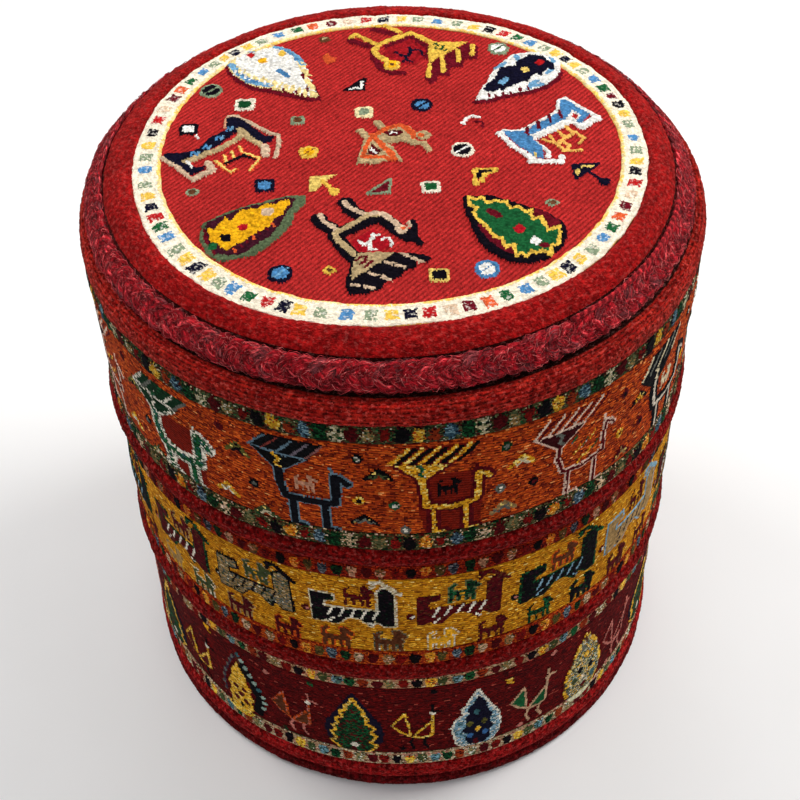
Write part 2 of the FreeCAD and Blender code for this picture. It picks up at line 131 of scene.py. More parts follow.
# =====================================================================================
# drawing on a grid of stitches
# =====================================================================================
class Cloth:
    """A grid of stitches. U, V are each stitch's place in mm; col is its yarn, lift how far it stands proud, pile 1 where it is knotted pile."""

    def __init__(self, u0, v0, du, dv, nu, nv, ground, serrate=0.55, wrap=None, axis="v", mask=None):
        self.u0, self.v0, self.du, self.dv, self.nu, self.nv = u0, v0, du, dv, nu, nv
        u = u0 + du * (np.arange(nu) + 0.5)
        v = v0 + dv * (np.arange(nv) + 0.5)
        self.U, self.Vv = np.meshgrid(u, v)
        # stitches of one column start a little higher or lower than those beside it, so
        # an edge across the columns is toothed, as in knotted and wrapped weaves
        tooth = 0.35 * serrate * np.where(np.arange(nu) // max(1, int(round(1.2 / du))) % 2 == 0, 1.0, -1.0)
        tooth = tooth + rng.normal(0, 0.10, nu)
        self.Vj = self.Vv + tooth[None, :] + serrate * (0.9 * smooth_noise(nv, nu, 2) + 0.6 * smooth_noise(nv, nu, 4))
        self.Uj = self.U + serrate * (0.9 * smooth_noise(nv, nu, 2) + 0.6 * smooth_noise(nv, nu, 4))
        self.pad = serrate + 1.0
        self.col = np.empty((nv, nu, 3))
        self.col[:] = ground
        self.lift = np.zeros((nv, nu))
        self.pile = np.zeros((nv, nu))
        self.wrap = wrap

    def _win(self, lo_u, hi_u, lo_v, hi_v):
        i0 = int(np.floor((lo_u - self.u0) / self.du)) - 1
        i1 = int(np.ceil((hi_u - self.u0) / self.du)) + 1
        j0 = int(np.floor((lo_v - self.pad - self.v0) / self.dv)) - 1
        j1 = int(np.ceil((hi_v + self.pad - self.v0) / self.dv)) + 1
        i0, i1, j0, j1 = max(i0, 0), min(i1, self.nu), max(j0, 0), min(j1, self.nv)
        if i0 >= i1 or j0 >= j1:
            return None
        return slice(j0, j1), slice(i0, i1)

    def _put(self, w, m, color, lift, pile):
        self.col[w][m] = color
        if lift is not None:
            self.lift[w][m] = lift
        if pile is not None:
            self.pile[w][m] = pile

    def _each(self, pts):
        pts = np.asarray(pts, float)
        yield pts
        if self.wrap:
            for k in (-1, 1):
                q = pts.copy()
                q[:, 0] += k * self.wrap
                if q[:, 0].max() > self.u0 - 5 and q[:, 0].min() < self.u0 + self.du * self.nu + 5:
                    yield q

    def poly(self, pts, color, lift=None, pile=1.0):
        for p in self._each(pts):
            w = self._win(p[:, 0].min(), p[:, 0].max(), p[:, 1].min(), p[:, 1].max())
            if w is None:
                continue
            x, y = self.Uj[w], self.Vj[w]
            inside = np.zeros(x.shape, bool)
            n = len(p)
            for i in range(n):
                (x1, y1), (x2, y2) = p[i], p[(i + 1) % n]
                if y1 == y2:
                    continue
                hit = ((y1 > y) != (y2 > y)) & (x < (x2 - x1) * (y - y1) / (y2 - y1) + x1)
                inside ^= hit
            self._put(w, inside, color, lift, pile)

    def line(self, pts, width, color, lift=None, pile=1.0):
        r = width / 2.0
        for p in self._each(pts):
            w = self._win(p[:, 0].min() - r, p[:, 0].max() + r, p[:, 1].min() - r, p[:, 1].max() + r)
            if w is None:
                continue
            x, y = self.Uj[w], self.Vj[w]
            best = np.full(x.shape, 1e9)
            for i in range(len(p) - 1):
                (x1, y1), (x2, y2) = p[i], p[i + 1]
                dx, dy = x2 - x1, y2 - y1
                L = dx * dx + dy * dy
                t = np.clip(((x - x1) * dx + (y - y1) * dy) / max(L, 1e-9), 0, 1)
                best = np.minimum(best, (x - x1 - t * dx) ** 2 + (y - y1 - t * dy) ** 2)
            self._put(w, best <= r * r, color, lift, pile)

    def dot(self, x0, y0, rx, ry, color, lift=None, pile=1.0, power=2.0):
        for p in self._each([(x0, y0), (x0, y0)]):
            w = self._win(p[0, 0] - rx, p[0, 0] + rx, y0 - ry, y0 + ry)
            if w is None:
                continue
            m = np.abs((self.Uj[w] - p[0, 0]) / rx) ** power + np.abs((self.Vj[w] - y0) / ry) ** power <= 1.0
            self._put(w, m, color, lift, pile)

    def speckle(self, where, color, share):
        """Sets a share of the stitches that are now one colour to another, as mixed yarn."""
        m = np.all(np.abs(self.col - where) < 1e-9, axis=2) & (rng.random(self.lift.shape) < share)
        self.col[m] = color

    def yarn(self, spread=0.13, knots=2, slow=0.06):
        """Natural unevenness: each stitch, each little group of stitches and slow dye bands."""
        nv, nu = self.lift.shape
        one = rng.normal(0, spread, (nv, nu))
        kv, ku = nv // knots + 2, nu // knots + 2
        group = np.kron(rng.normal(0, spread, (kv, ku)), np.ones((knots, knots)))[:nv, :nu]
        band = smooth_noise(nv, nu, 26) * slow
        f = np.clip(1.0 + one * 0.6 + group * 0.8 + band, 0.45, 1.7)
        self.col = np.clip(self.col * f[:, :, None], 0, 1)


def smooth_noise(nv, nu, cell):
    """Smooth random field in about -1..1, by interpolating a coarse random grid."""
    gv, gu = nv // cell + 3, nu // cell + 3
    g = rng.uniform(-1, 1, (gv, gu))
    y, x = np.arange(nv) / cell, np.arange(nu) / cell
    j, i = y.astype(int), x.astype(int)
    fy, fx = (y - j), (x - i)
    fy, fx = fy * fy * (3 - 2 * fy), fx * fx * (3 - 2 * fx)
    a = g[np.ix_(j, i)] * (1 - fx) + g[np.ix_(j, i + 1)] * fx
    b = g[np.ix_(j + 1, i)] * (1 - fx) + g[np.ix_(j + 1, i + 1)] * fx
    return a * (1 - fy[:, None]) + b * fy[:, None]


def corner_mean(face_values):
    """From a value per stitch to a value per corner of the grid."""
    nv, nu = face_values.shape
    p = np.pad(face_values, 1, mode="edge")
    return (p[:-1, :-1] + p[1:, :-1] + p[:-1, 1:] + p[1:, 1:]) / 4.0


# =====================================================================================
# meshes
# =====================================================================================
def build_mesh(name, verts, quads, face_col=None, face_pile=None, uv=None, extra_faces=(), extra_col=None, smooth=True):
    """verts (N,3) in metres, quads (M,4). extra_faces are index lists of any length, after the quads."""
    me = bpy.data.meshes.new(name)
    nq = len(quads)
    # a closed mesh faces outwards when its signed volume is positive
    p = np.asarray(verts, float)
    vol = np.einsum("ij,ij->i", p[quads[:, 0]], np.cross(p[quads[:, 1]], p[quads[:, 2]])).sum()
    vol += np.einsum("ij,ij->i", p[quads[:, 0]], np.cross(p[quads[:, 2]], p[quads[:, 3]])).sum()
    for f in extra_faces:
        for k in range(1, len(f) - 1):
            vol += float(np.dot(p[f[0]], np.cross(p[f[k]], p[f[k + 1]])))
    if vol < 0:
        quads = quads[:, ::-1]
        extra_faces = [list(f)[::-1] for f in extra_faces]
    loops = np.concatenate([quads.reshape(-1)] + [np.asarray(f) for f in extra_faces]) if len(extra_faces) else quads.reshape(-1)
    starts = np.concatenate([np.arange(nq) * 4, nq * 4 + np.concatenate([[0], np.cumsum([len(f) for f in extra_faces])[:-1]])]) if len(extra_faces) else np.arange(nq) * 4
    me.vertices.add(len(verts))
    me.vertices.foreach_set("co", np.ascontiguousarray(verts, dtype=np.float32).reshape(-1))
    me.loops.add(len(loops))
    me.loops.foreach_set("vertex_index", loops.astype(np.int32))
    me.polygons.add(nq + len(extra_faces))
    me.polygons.foreach_set("loop_start", starts.astype(np.int32))
    me.update(calc_edges=True)
    me.validate(verbose=False)
    if smooth:
        me.polygons.foreach_set("use_smooth", np.ones(len(me.polygons), dtype=bool))
    n = len(me.polygons)
    if face_col is not None:
        c = np.ones((n, 4), np.float32)
        c[:nq, :3] = face_col
        if n > nq:
            c[nq:, :3] = face_col[0] if extra_col is None else extra_col
        at = me.attributes.new("yarn", "FLOAT_COLOR", "FACE")
        at.data.foreach_set("color", c.reshape(-1))
        p = np.zeros(n, np.float32)
        if face_pile is not None:
            p[:nq] = face_pile
        at = me.attributes.new("pile", "FLOAT", "FACE")
        at.data.foreach_set("value", p)
    if uv is not None:
        layer = me.uv_layers.new(name="lay")
        ids = np.empty(len(me.loops), np.int32)
        me.loops.foreach_get("vertex_index", ids)
        layer.data.foreach_set("uv", uv[ids].astype(np.float32).reshape(-1))
    me.update()
    return me


def add(name, me, mat, body, replaces=()):
    ob = bpy.data.objects.new(name, me)
    bpy.context.collection.objects.link(ob)
    me.materials.append(mat)
    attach(ob, body)
    if replaces:
        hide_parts(*replaces)
    return ob


def grid_quads(nv, nu, flip=False):
    """Quads of an (nv+1) by (nu+1) grid of corners."""
    j, i = np.meshgrid(np.arange(nv), np.arange(nu), indexing="ij")
    a = j * (nu + 1) + i
    q = np.stack([a, a + 1, a + nu + 2, a + nu + 1], axis=-1).reshape(-1, 4)
    return q[:, ::-1] if flip else q


# =====================================================================================
# materials
# =====================================================================================
class Nodes:
    def __init__(self, name):
        self.mat = bpy.data.materials.new(name)
        self.mat.use_nodes = True
        self.t = self.mat.node_tree
        self.t.nodes.clear()
        self.out = self.t.nodes.new("ShaderNodeOutputMaterial")
        self.bsdf = self.t.nodes.new("ShaderNodeBsdfPrincipled")
        self.t.links.new(self.bsdf.outputs[0], self.out.inputs[0])

    def new(self, kind, **props):
        n = self.t.nodes.new(kind)
        for k, v in props.items():
            setattr(n, k, v)
        return n

    def link(self, a, b):
        self.t.links.new(a, b)

    def attr(self, name):
        return self.new("ShaderNodeAttribute", attribute_type="GEOMETRY", attribute_name=name)

    def uv(self, name="lay"):
        return self.new("ShaderNodeUVMap", uv_map=name).outputs[0]

    def coords(self):
        return self.new("ShaderNodeTexCoord").outputs["Object"]

    def mapping(self, vec, scale=(1, 1, 1), rot=(0, 0, 0), loc=(0, 0, 0)):
        n = self.new("ShaderNodeMapping")
        self.link(vec, n.inputs["Vector"])
        n.inputs["Scale"].default_value = scale
        n.inputs["Rotation"].default_value = rot
        n.inputs["Location"].default_value = loc
        return n.outputs[0]

    def noise(self, vec, scale, detail=2.0, rough=0.5, distortion=0.0):
        n = self.new("ShaderNodeTexNoise")
        self.link(vec, n.inputs["Vector"])
        n.inputs["Scale"].default_value = scale
        n.inputs["Detail"].default_value = detail
        n.inputs["Roughness"].default_value = rough
        n.inputs["Distortion"].default_value = distortion
        return n.outputs["Fac"]

    def voronoi(self, vec, scale, feature="F1", randomness=1.0, out="Distance"):
        n = self.new("ShaderNodeTexVoronoi", feature=feature)
        self.link(vec, n.inputs["Vector"])
        n.inputs["Scale"].default_value = scale
        n.inputs["Randomness"].default_value = randomness
        return n.outputs[out]

    def wave(self, vec, scale, distortion=0.0, detail=2.0, dscale=1.0, direction="X"):
        n = self.new("ShaderNodeTexWave", wave_type="BANDS", bands_direction=direction, wave_profile="SIN")
        self.link(vec, n.inputs["Vector"])
        n.inputs["Scale"].default_value = scale
        n.inputs["Distortion"].default_value = distortion
        n.inputs["Detail"].default_value = detail
        n.inputs["Detail Scale"].default_value = dscale
        return n.outputs["Fac"]

    def math(self, op, a, b=None, clamp=False):
        n = self.new("ShaderNodeMath", operation=op, use_clamp=clamp)
        for i, v in enumerate((a, b)):
            if v is None:
                continue
            if isinstance(v, (int, float)):
                n.inputs[i].default_value = v
            else:
                self.link(v, n.inputs[i])
        return n.outputs[0]

    def remap(self, v, lo, hi, to_lo, to_hi):
        n = self.new("ShaderNodeMapRange")
        self.link(v, n.inputs["Value"])
        for k, x in (("From Min", lo), ("From Max", hi), ("To Min", to_lo), ("To Max", to_hi)):
            n.inputs[k].default_value = x
        return n.outputs[0]

    def mixf(self, fac, a, b):
        """a where fac is 0, b where it is 1, for numbers."""
        n = self.new("ShaderNodeMix", data_type="FLOAT")
        for key, v in ((0, fac), (2, a), (3, b)):
            if isinstance(v, (int, float)):
                n.inputs[key].default_value = v
            else:
                self.link(v, n.inputs[key])
        return n.outputs[0]

    def mixc(self, fac, a, b, blend="MIX"):
        n = self.new("ShaderNodeMix", data_type="RGBA", blend_type=blend)
        for key, v in ((0, fac), (6, a), (7, b)):
            if isinstance(v, (int, float)):
                n.inputs[key].default_value = v
            elif isinstance(v, tuple):
                n.inputs[key].default_value = v
            else:
                self.link(v, n.inputs[key])
        return n.outputs[2]

    def scale_color(self, color, factor):
        """color times a number."""
        n = self.new("ShaderNodeVectorMath", operation="SCALE")
        self.link(color, n.inputs[0])
        if isinstance(factor, (int, float)):
            n.inputs["Scale"].default_value = factor
        else:
            self.link(factor, n.inputs["Scale"])
        return n.outputs[0]

    def ramp(self, fac, stops):
        n = self.new("ShaderNodeValToRGB")
        self.link(fac, n.inputs[0])
        e = n.color_ramp.elements
        while len(e) < len(stops):
            e.new(0.5)
        for i, (p, c) in enumerate(stops):
            e[i].position = p
            e[i].color = c
        return n.outputs[0]

    def bump(self, height, distance, strength=1.0, normal=None):
        n = self.new("ShaderNodeBump")
        self.link(height, n.inputs["Height"])
        n.inputs["Distance"].default_value = distance
        n.inputs["Strength"].default_value = strength
        if normal is not None:
            self.link(normal, n.inputs["Normal"])
        return n.outputs[0]

    def finish(self, color=None, rough=None, normal=None, sheen=0.0, sheen_rough=0.4, sheen_tint=(1, 1, 1, 1), metallic=0.0, spec=0.5):
        b = self.bsdf.inputs
        if color is not None:
            if isinstance(color, tuple):
                b["Base Color"].default_value = color
            else:
                self.link(color, b["Base Color"])
        if rough is not None:
            if isinstance(rough, (int, float)):
                b["Roughness"].default_value = rough
            else:
                self.link(rough, b["Roughness"])
        if normal is not None:
            self.link(normal, b["Normal"])
        b["Sheen Weight"].default_value = sheen
        b["Sheen Roughness"].default_value = sheen_rough
        b["Sheen Tint"].default_value = sheen_tint
        b["Metallic"].default_value = metallic
        b["Specular IOR Level"].default_value = spec
        return self.mat


def mat_flatweave(name, rib_mm, rib_angle, thread_mm, rough, sheen, spec, rib_depth, groove, glint):
    """Wrapped flat weave with knotted pile figures. The yarn colour and the pile mask come from the stitches."""
    n = Nodes(name)
    yarn = n.attr("yarn").outputs["Color"]
    pile = n.attr("pile").outputs["Fac"]
    uv = n.uv()                                     # in metres
    # wrapped rows: rounded ridges side by side, each crossed by the short slanting turns of its yarn
    turned = n.mapping(uv, scale=(1, 1, 1), rot=(0, 0, rib_angle))
    rib = n.wave(turned, 0.31416 / (rib_mm * MM), distortion=0.7, detail=2.0, dscale=1.2, direction="Y")
    ridge = n.math("POWER", rib, 0.6)
    wrap = n.mapping(turned, scale=(1, 1, 1), rot=(0, 0, 1.05))
    thread = n.noise(n.mapping(wrap, scale=(1.0 / (thread_mm * MM), 0.36 / (thread_mm * MM), 1)), 1.0, detail=2.0, rough=0.6)
    turn = n.remap(thread, 0.30, 0.70, 0.0, 1.0)
    flat = n.math("ADD", n.math("MULTIPLY", ridge, 0.55), n.math("MULTIPLY", turn, 0.45))
    # pile: small round tufts
    cell = n.voronoi(n.mapping(uv, scale=(560, 560, 1)), 1.0, feature="SMOOTH_F1")
    tuft = n.math("SUBTRACT", 1.0, cell)
    fine = n.noise(n.mapping(uv, scale=(2100, 2100, 1)), 1.0, detail=3.0, rough=0.65)
    piled = n.math("ADD", n.math("MULTIPLY", tuft, 0.75), n.math("MULTIPLY", fine, 0.45))
    height = n.mixf(pile, flat, piled)
    # painted shade: grooves and the feet of tufts are darker, with painted highlight on the ridges
    shade_flat = n.remap(flat, 0.15, 0.88, 1.0 - groove, 1.22)
    shade_pile = n.remap(piled, 0.35, 0.95, 0.50, 1.20)
    shade = n.mixf(pile, shade_flat, shade_pile)
    slow = n.noise(n.mapping(uv, scale=(26, 26, 1)), 1.0, detail=3.0, rough=0.6)
    shade = n.math("MULTIPLY", shade, n.remap(slow, 0.3, 0.7, 0.9, 1.08))
    # painted highlight: sparse glints mix a brighter copy of the yarn colour into the fibres
    fibre = n.noise(n.mapping(uv, scale=(3200, 1400, 1)), 1.0, detail=1.0)
    painted_highlight = n.remap(fibre, 0.64, 0.80, 0.0, glint)
    color = n.scale_color(yarn, shade)
    color = n.mixc(painted_highlight, color, n.mixc(0.16, n.scale_color(color, 2.1), (0.95, 0.66, 0.46, 1.0)))
    b1 = n.bump(height, rib_depth * MM, 0.95)
    b2 = n.bump(fibre, 0.18 * MM, 0.5, normal=b1)
    r = n.remap(height, 0.2, 0.9, min(1.0, rough + 0.1), rough - 0.08)
    return n.finish(color, r, b2, sheen=sheen, sheen_rough=0.45, sheen_tint=(0.9, 0.5, 0.4, 1.0), spec=spec)


def mat_pile(name, tuft_mm, rough=0.85, sheen=0.35, painted_highlight=None, highlight_share=0.5, row_mm=0.0, depth=0.9, contrast=1.0, tint=(0.9, 0.16, 0.12, 1.0)):
    """Cut wool pile: soft round tufts with a fine grain, painted shade between them, and lighter flecks as painted
    highlight.
    """
    n = Nodes(name)
    yarn = n.attr("yarn").outputs["Color"]
    uv = n.uv()
    warp = n.noise(n.mapping(uv, scale=(210, 210, 1)), 1.0, detail=3.0, rough=0.6)
    cell = n.voronoi(n.mapping(uv, scale=(1.0 / (tuft_mm * MM), 1.0 / (tuft_mm * MM), 1)), 1.0, feature="SMOOTH_F1")
    tuft = n.math("SUBTRACT", 1.0, cell)
    grain = n.noise(n.mapping(uv, scale=(300, 380, 1)), 1.0, detail=2.0, rough=0.75)
    fine = n.noise(n.mapping(uv, scale=(1900, 1900, 1)), 1.0, detail=2.0, rough=0.7)
    h = n.math("ADD", n.math("MULTIPLY", tuft, 0.30), n.math("MULTIPLY", n.remap(grain, 0.40, 0.62, 0.0, 1.0), 0.62))
    if row_mm:
        rows = n.wave(uv, 1.0 / (row_mm * MM) / 3.1831, distortion=2.4, detail=2.0, dscale=3.0, direction="Y")
        h = n.math("ADD", n.math("MULTIPLY", h, 0.72), n.math("MULTIPLY", rows, 0.30))
    calm = 1.0 if painted_highlight is None else 0.35
    # painted shade low between the tufts, painted highlight on their tops
    shade = n.remap(h, 0.14, 0.80, 1.0 - 0.70 * contrast * calm, 1.0 + 0.55 * contrast * calm)
    shade = n.math("MULTIPLY", shade, n.remap(warp, 0.3, 0.7, 1.0 - 0.20 * calm, 1.0 + 0.18 * calm))
    # painted highlight: sparse lighter flecks of pile
    spark = n.noise(n.mapping(uv, scale=(340, 440, 1), loc=(0.3, 0.7, 0)), 1.0, detail=2.0, rough=0.7)
    lighter = n.remap(spark, 0.54, 0.64, 0.0, highlight_share)
    pale = painted_highlight if painted_highlight is not None else n.mixc(0.10, n.scale_color(yarn, 1.0 + 0.95 * contrast), (1.0, 0.50, 0.42, 1.0))
    color = n.mixc(lighter, n.scale_color(yarn, shade), pale)
    b1 = n.bump(h, depth * MM, 0.9)
    b2 = n.bump(fine, 0.25 * MM, 0.5, normal=b1)
    return n.finish(color, n.remap(h, 0.1, 0.9, min(1.0, rough + 0.08), rough - 0.04), b2, sheen=sheen, sheen_rough=0.5, sheen_tint=tint, spec=0.04)


def mat_braid(name):
    """Loose plied wool: long soft fibres along each strand."""
    n = Nodes(name)
    yarn = n.attr("yarn").outputs["Color"]
    uv = n.uv()
    ply = n.noise(n.mapping(uv, scale=(150, 900, 1), rot=(0, 0, 0.10)), 1.0, detail=3.0, rough=0.65, distortion=0.25)
    hair = n.noise(n.mapping(uv, scale=(330, 3200, 1), rot=(0, 0, -0.08)), 1.0, detail=3.0, rough=0.6, distortion=0.15)
    h = n.math("ADD", n.math("MULTIPLY", ply, 0.55), n.math("MULTIPLY", hair, 0.55))
    fleck = n.noise(n.mapping(uv, scale=(300, 420, 1), loc=(0.4, 0.2, 0)), 1.0, detail=2.0, rough=0.7)
    # painted shade in the dips between plies and hairs, lighter on their tops; the pale pink mix on the finest hairs is
    # painted highlight
    color = n.scale_color(yarn, n.remap(h, 0.40, 0.68, 0.42, 1.50))
    color = n.scale_color(color, n.remap(fleck, 0.40, 0.60, 0.62, 1.40))
    pale = n.remap(hair, 0.60, 0.78, 0.0, 0.35)
    color = n.mixc(pale, color, (0.60, 0.16, 0.17, 1.0))
    b = n.bump(h, 0.55 * MM, 0.75)
    return n.finish(color, 0.9, b, sheen=0.16, sheen_rough=0.5, sheen_tint=(0.9, 0.28, 0.28, 1.0), spec=0.04)


def mat_cloth(name, rgb, thread_mm, rough=0.85, contrast=0.3, sheen=0.2, object_space=True):
    """Plain woven cotton: over and under threads, with slubs."""
    n = Nodes(name)
    c = n.coords()
    k = 1.0 / (thread_mm * MM)
    x = n.wave(c, k / 3.1831 / 2, distortion=0.6, detail=1.0, direction="X")
    y = n.wave(c, k / 3.1831 / 2, distortion=0.6, detail=1.0, direction="Y")
    z = n.wave(c, k / 3.1831 / 2, distortion=0.6, detail=1.0, direction="Z")
    weave = n.math("MULTIPLY", n.math("ADD", n.math("ADD", x, y), z), 0.34)
    slub = n.noise(n.mapping(c, scale=(60, 300, 60)), 1.0, detail=4.0, rough=0.6)
    h = n.math("ADD", n.math("MULTIPLY", weave, 0.7), n.math("MULTIPLY", slub, 0.5))
    base = n.ramp(slub, [(0.3, col4([v * (1 - contrast) for v in rgb])), (0.7, col4(rgb))])
    color = n.scale_color(base, n.remap(h, 0.2, 0.9, 0.8, 1.1))
    return n.finish(color, n.remap(h, 0.2, 0.9, min(1, rough + 0.08), rough - 0.05), n.bump(h, 0.25 * MM, 0.7), sheen=sheen, spec=0.3)


def mat_wood(name, light, dark, ply_mm=0.0, scale=1.0):
    n = Nodes(name)
    c = n.coords()
    if ply_mm:
        layer = n.wave(c, 1.0 / (ply_mm * MM) / 3.1831 / 2, distortion=0.05, direction="Z")
        edge = n.remap(layer, 0.35, 0.65, 0.0, 1.0)
    grain = n.noise(n.mapping(c, scale=(14 * scale, 160 * scale, 40 * scale)), 1.0, detail=5.0, rough=0.62, distortion=0.6)
    pore = n.noise(n.mapping(c, scale=(60 * scale, 900 * scale, 300 * scale)), 1.0, detail=2.0, rough=0.5)
    color = n.ramp(grain, [(0.3, col4(dark)), (0.62, col4(light))])
    color = n.scale_color(color, n.remap(pore, 0.35, 0.65, 0.9, 1.05))
    if ply_mm:
        color = n.scale_color(color, n.remap(edge, 0, 1, 0.82, 1.05))
    return n.finish(color, n.remap(grain, 0.3, 0.7, 0.62, 0.48), n.bump(n.math("ADD", grain, n.math("MULTIPLY", pore, 0.5)), 0.15 * MM, 0.5), spec=0.4)


def mat_plain(name, rgb, rough, metallic=0.0, grain=900.0, spec=0.5, var=0.12, depth=0.03):
    """Moulded plastic or plated steel, with slight mottling and scuffs."""
    n = Nodes(name)
    c = n.coords()
    a = n.noise(c, grain, detail=3.0, rough=0.6)
    b = n.noise(c, 40.0, detail=4.0, rough=0.7)
    color = n.ramp(b, [(0.3, col4([v * (1 - var) for v in rgb])), (0.7, col4(rgb))])
    return n.finish(color, n.remap(a, 0.3, 0.7, max(0.05, rough - 0.08), rough + 0.1), n.bump(a, depth * MM, 0.5), metallic=metallic, spec=spec)


MAT_TOP = mat_flatweave("wool_flatweave_red", 2.85, math.radians(-48.8), 0.95, 0.95, 0.0, 0.03, 0.9, 0.50, 0.22)
MAT_SIDE = mat_flatweave("wool_silk_weave", 2.1, math.radians(8), 0.9, 0.85, 0.0, 0.03, 0.6, 0.50, 0.22)
MAT_RING = mat_pile("cream_pile_ring", 1.7, rough=0.9, sheen=0.0, painted_highlight=(0.95, 0.90, 0.80, 1.0), highlight_share=0.5, depth=0.5)
MAT_BORDER = mat_pile("red_pile", 2.0, rough=0.92, sheen=0.22, highlight_share=0.50, depth=0.9, contrast=0.66, tint=(0.9, 0.14, 0.12, 1.0))
MAT_STRIPE = mat_pile("crimson_pile", 1.9, rough=0.9, sheen=0.0, highlight_share=0.50, depth=0.8, contrast=1.0)
MAT_RIM = mat_pile("rim_pile", 1.8, rough=0.9, sheen=0.13, highlight_share=0.75, row_mm=2.6, depth=1.0, contrast=1.2, tint=(0.9, 0.20, 0.14, 1.0))
MAT_BRAID = mat_braid("plaited_wool")
MAT_MAROON = mat_pile("maroon_edging_pile", 1.5, rough=0.9, sheen=0.03, highlight_share=0.3, depth=0.6)
MAT_DUST = mat_cloth("black_dust_cloth", (34, 33, 34), 0.9, contrast=0.3, sheen=0.05)
MAT_PLY = mat_wood("birch_plywood", (214, 182, 136), (176, 136, 92), ply_mm=1.5)
MAT_PINE = mat_wood("pine_strip", (206, 170, 120), (168, 124, 78))
MAT_GLIDE = mat_plain("black_nylon", (30, 28, 28), 0.5, grain=1400.0)
MAT_STEEL = mat_plain("zinc_plated_steel", (176, 176, 172), 0.32, metallic=1.0, grain=2000.0, var=0.08, depth=0.01)
MAT_FOAM = mat_plain("foam", (222, 204, 150), 0.92, grain=900.0, spec=0.2, var=0.1, depth=0.3)
MAT_THREAD = mat_plain("maroon_thread", (110, 22, 34), 0.8, grain=1800.0, spec=0.3, var=0.3, depth=0.12)


# =====================================================================================
# the floor
# =====================================================================================
def make_floor():
    n = Nodes("pale_floor")
    c = n.coords()
    a = n.noise(c, 5.0, detail=3.0)
    n.finish(n.ramp(a, [(0.3, (0.89, 0.89, 0.885, 1)), (0.7, (0.92, 0.92, 0.915, 1))]), 0.7, None, spec=0.2)
    me = bpy.data.meshes.new("floor")
    s = 8.0
    me.from_pydata([(-s, -s, 0), (s, -s, 0), (s, s, 0), (-s, s, 0)], [], [(0, 1, 2, 3)])
    me.materials.append(n.mat)
    ob = bpy.data.objects.new("floor", me)
    bpy.context.collection.objects.link(ob)


make_floor()

# =====================================================================================
# the woven top of the lid
# =====================================================================================
PX = 200.0 / 750.0          # the drawing plan of the lid: 750 units are the drum's radius


def plan(x, y):
    """From the drawing plan, centred on the drum's axis, to mm."""
    return ((x - 750.0) * PX, (750.0 - y) * PX)


def crop_to_plan(x0, y0, s):
    def f(*pts):
        return [plan(x0 + x / s, y0 + y / s) for x, y in pts]
    return f


H_MAIN = 1.5     # how far the figures' pile stands over the flat weave, mm
H_SMALL = 0.9


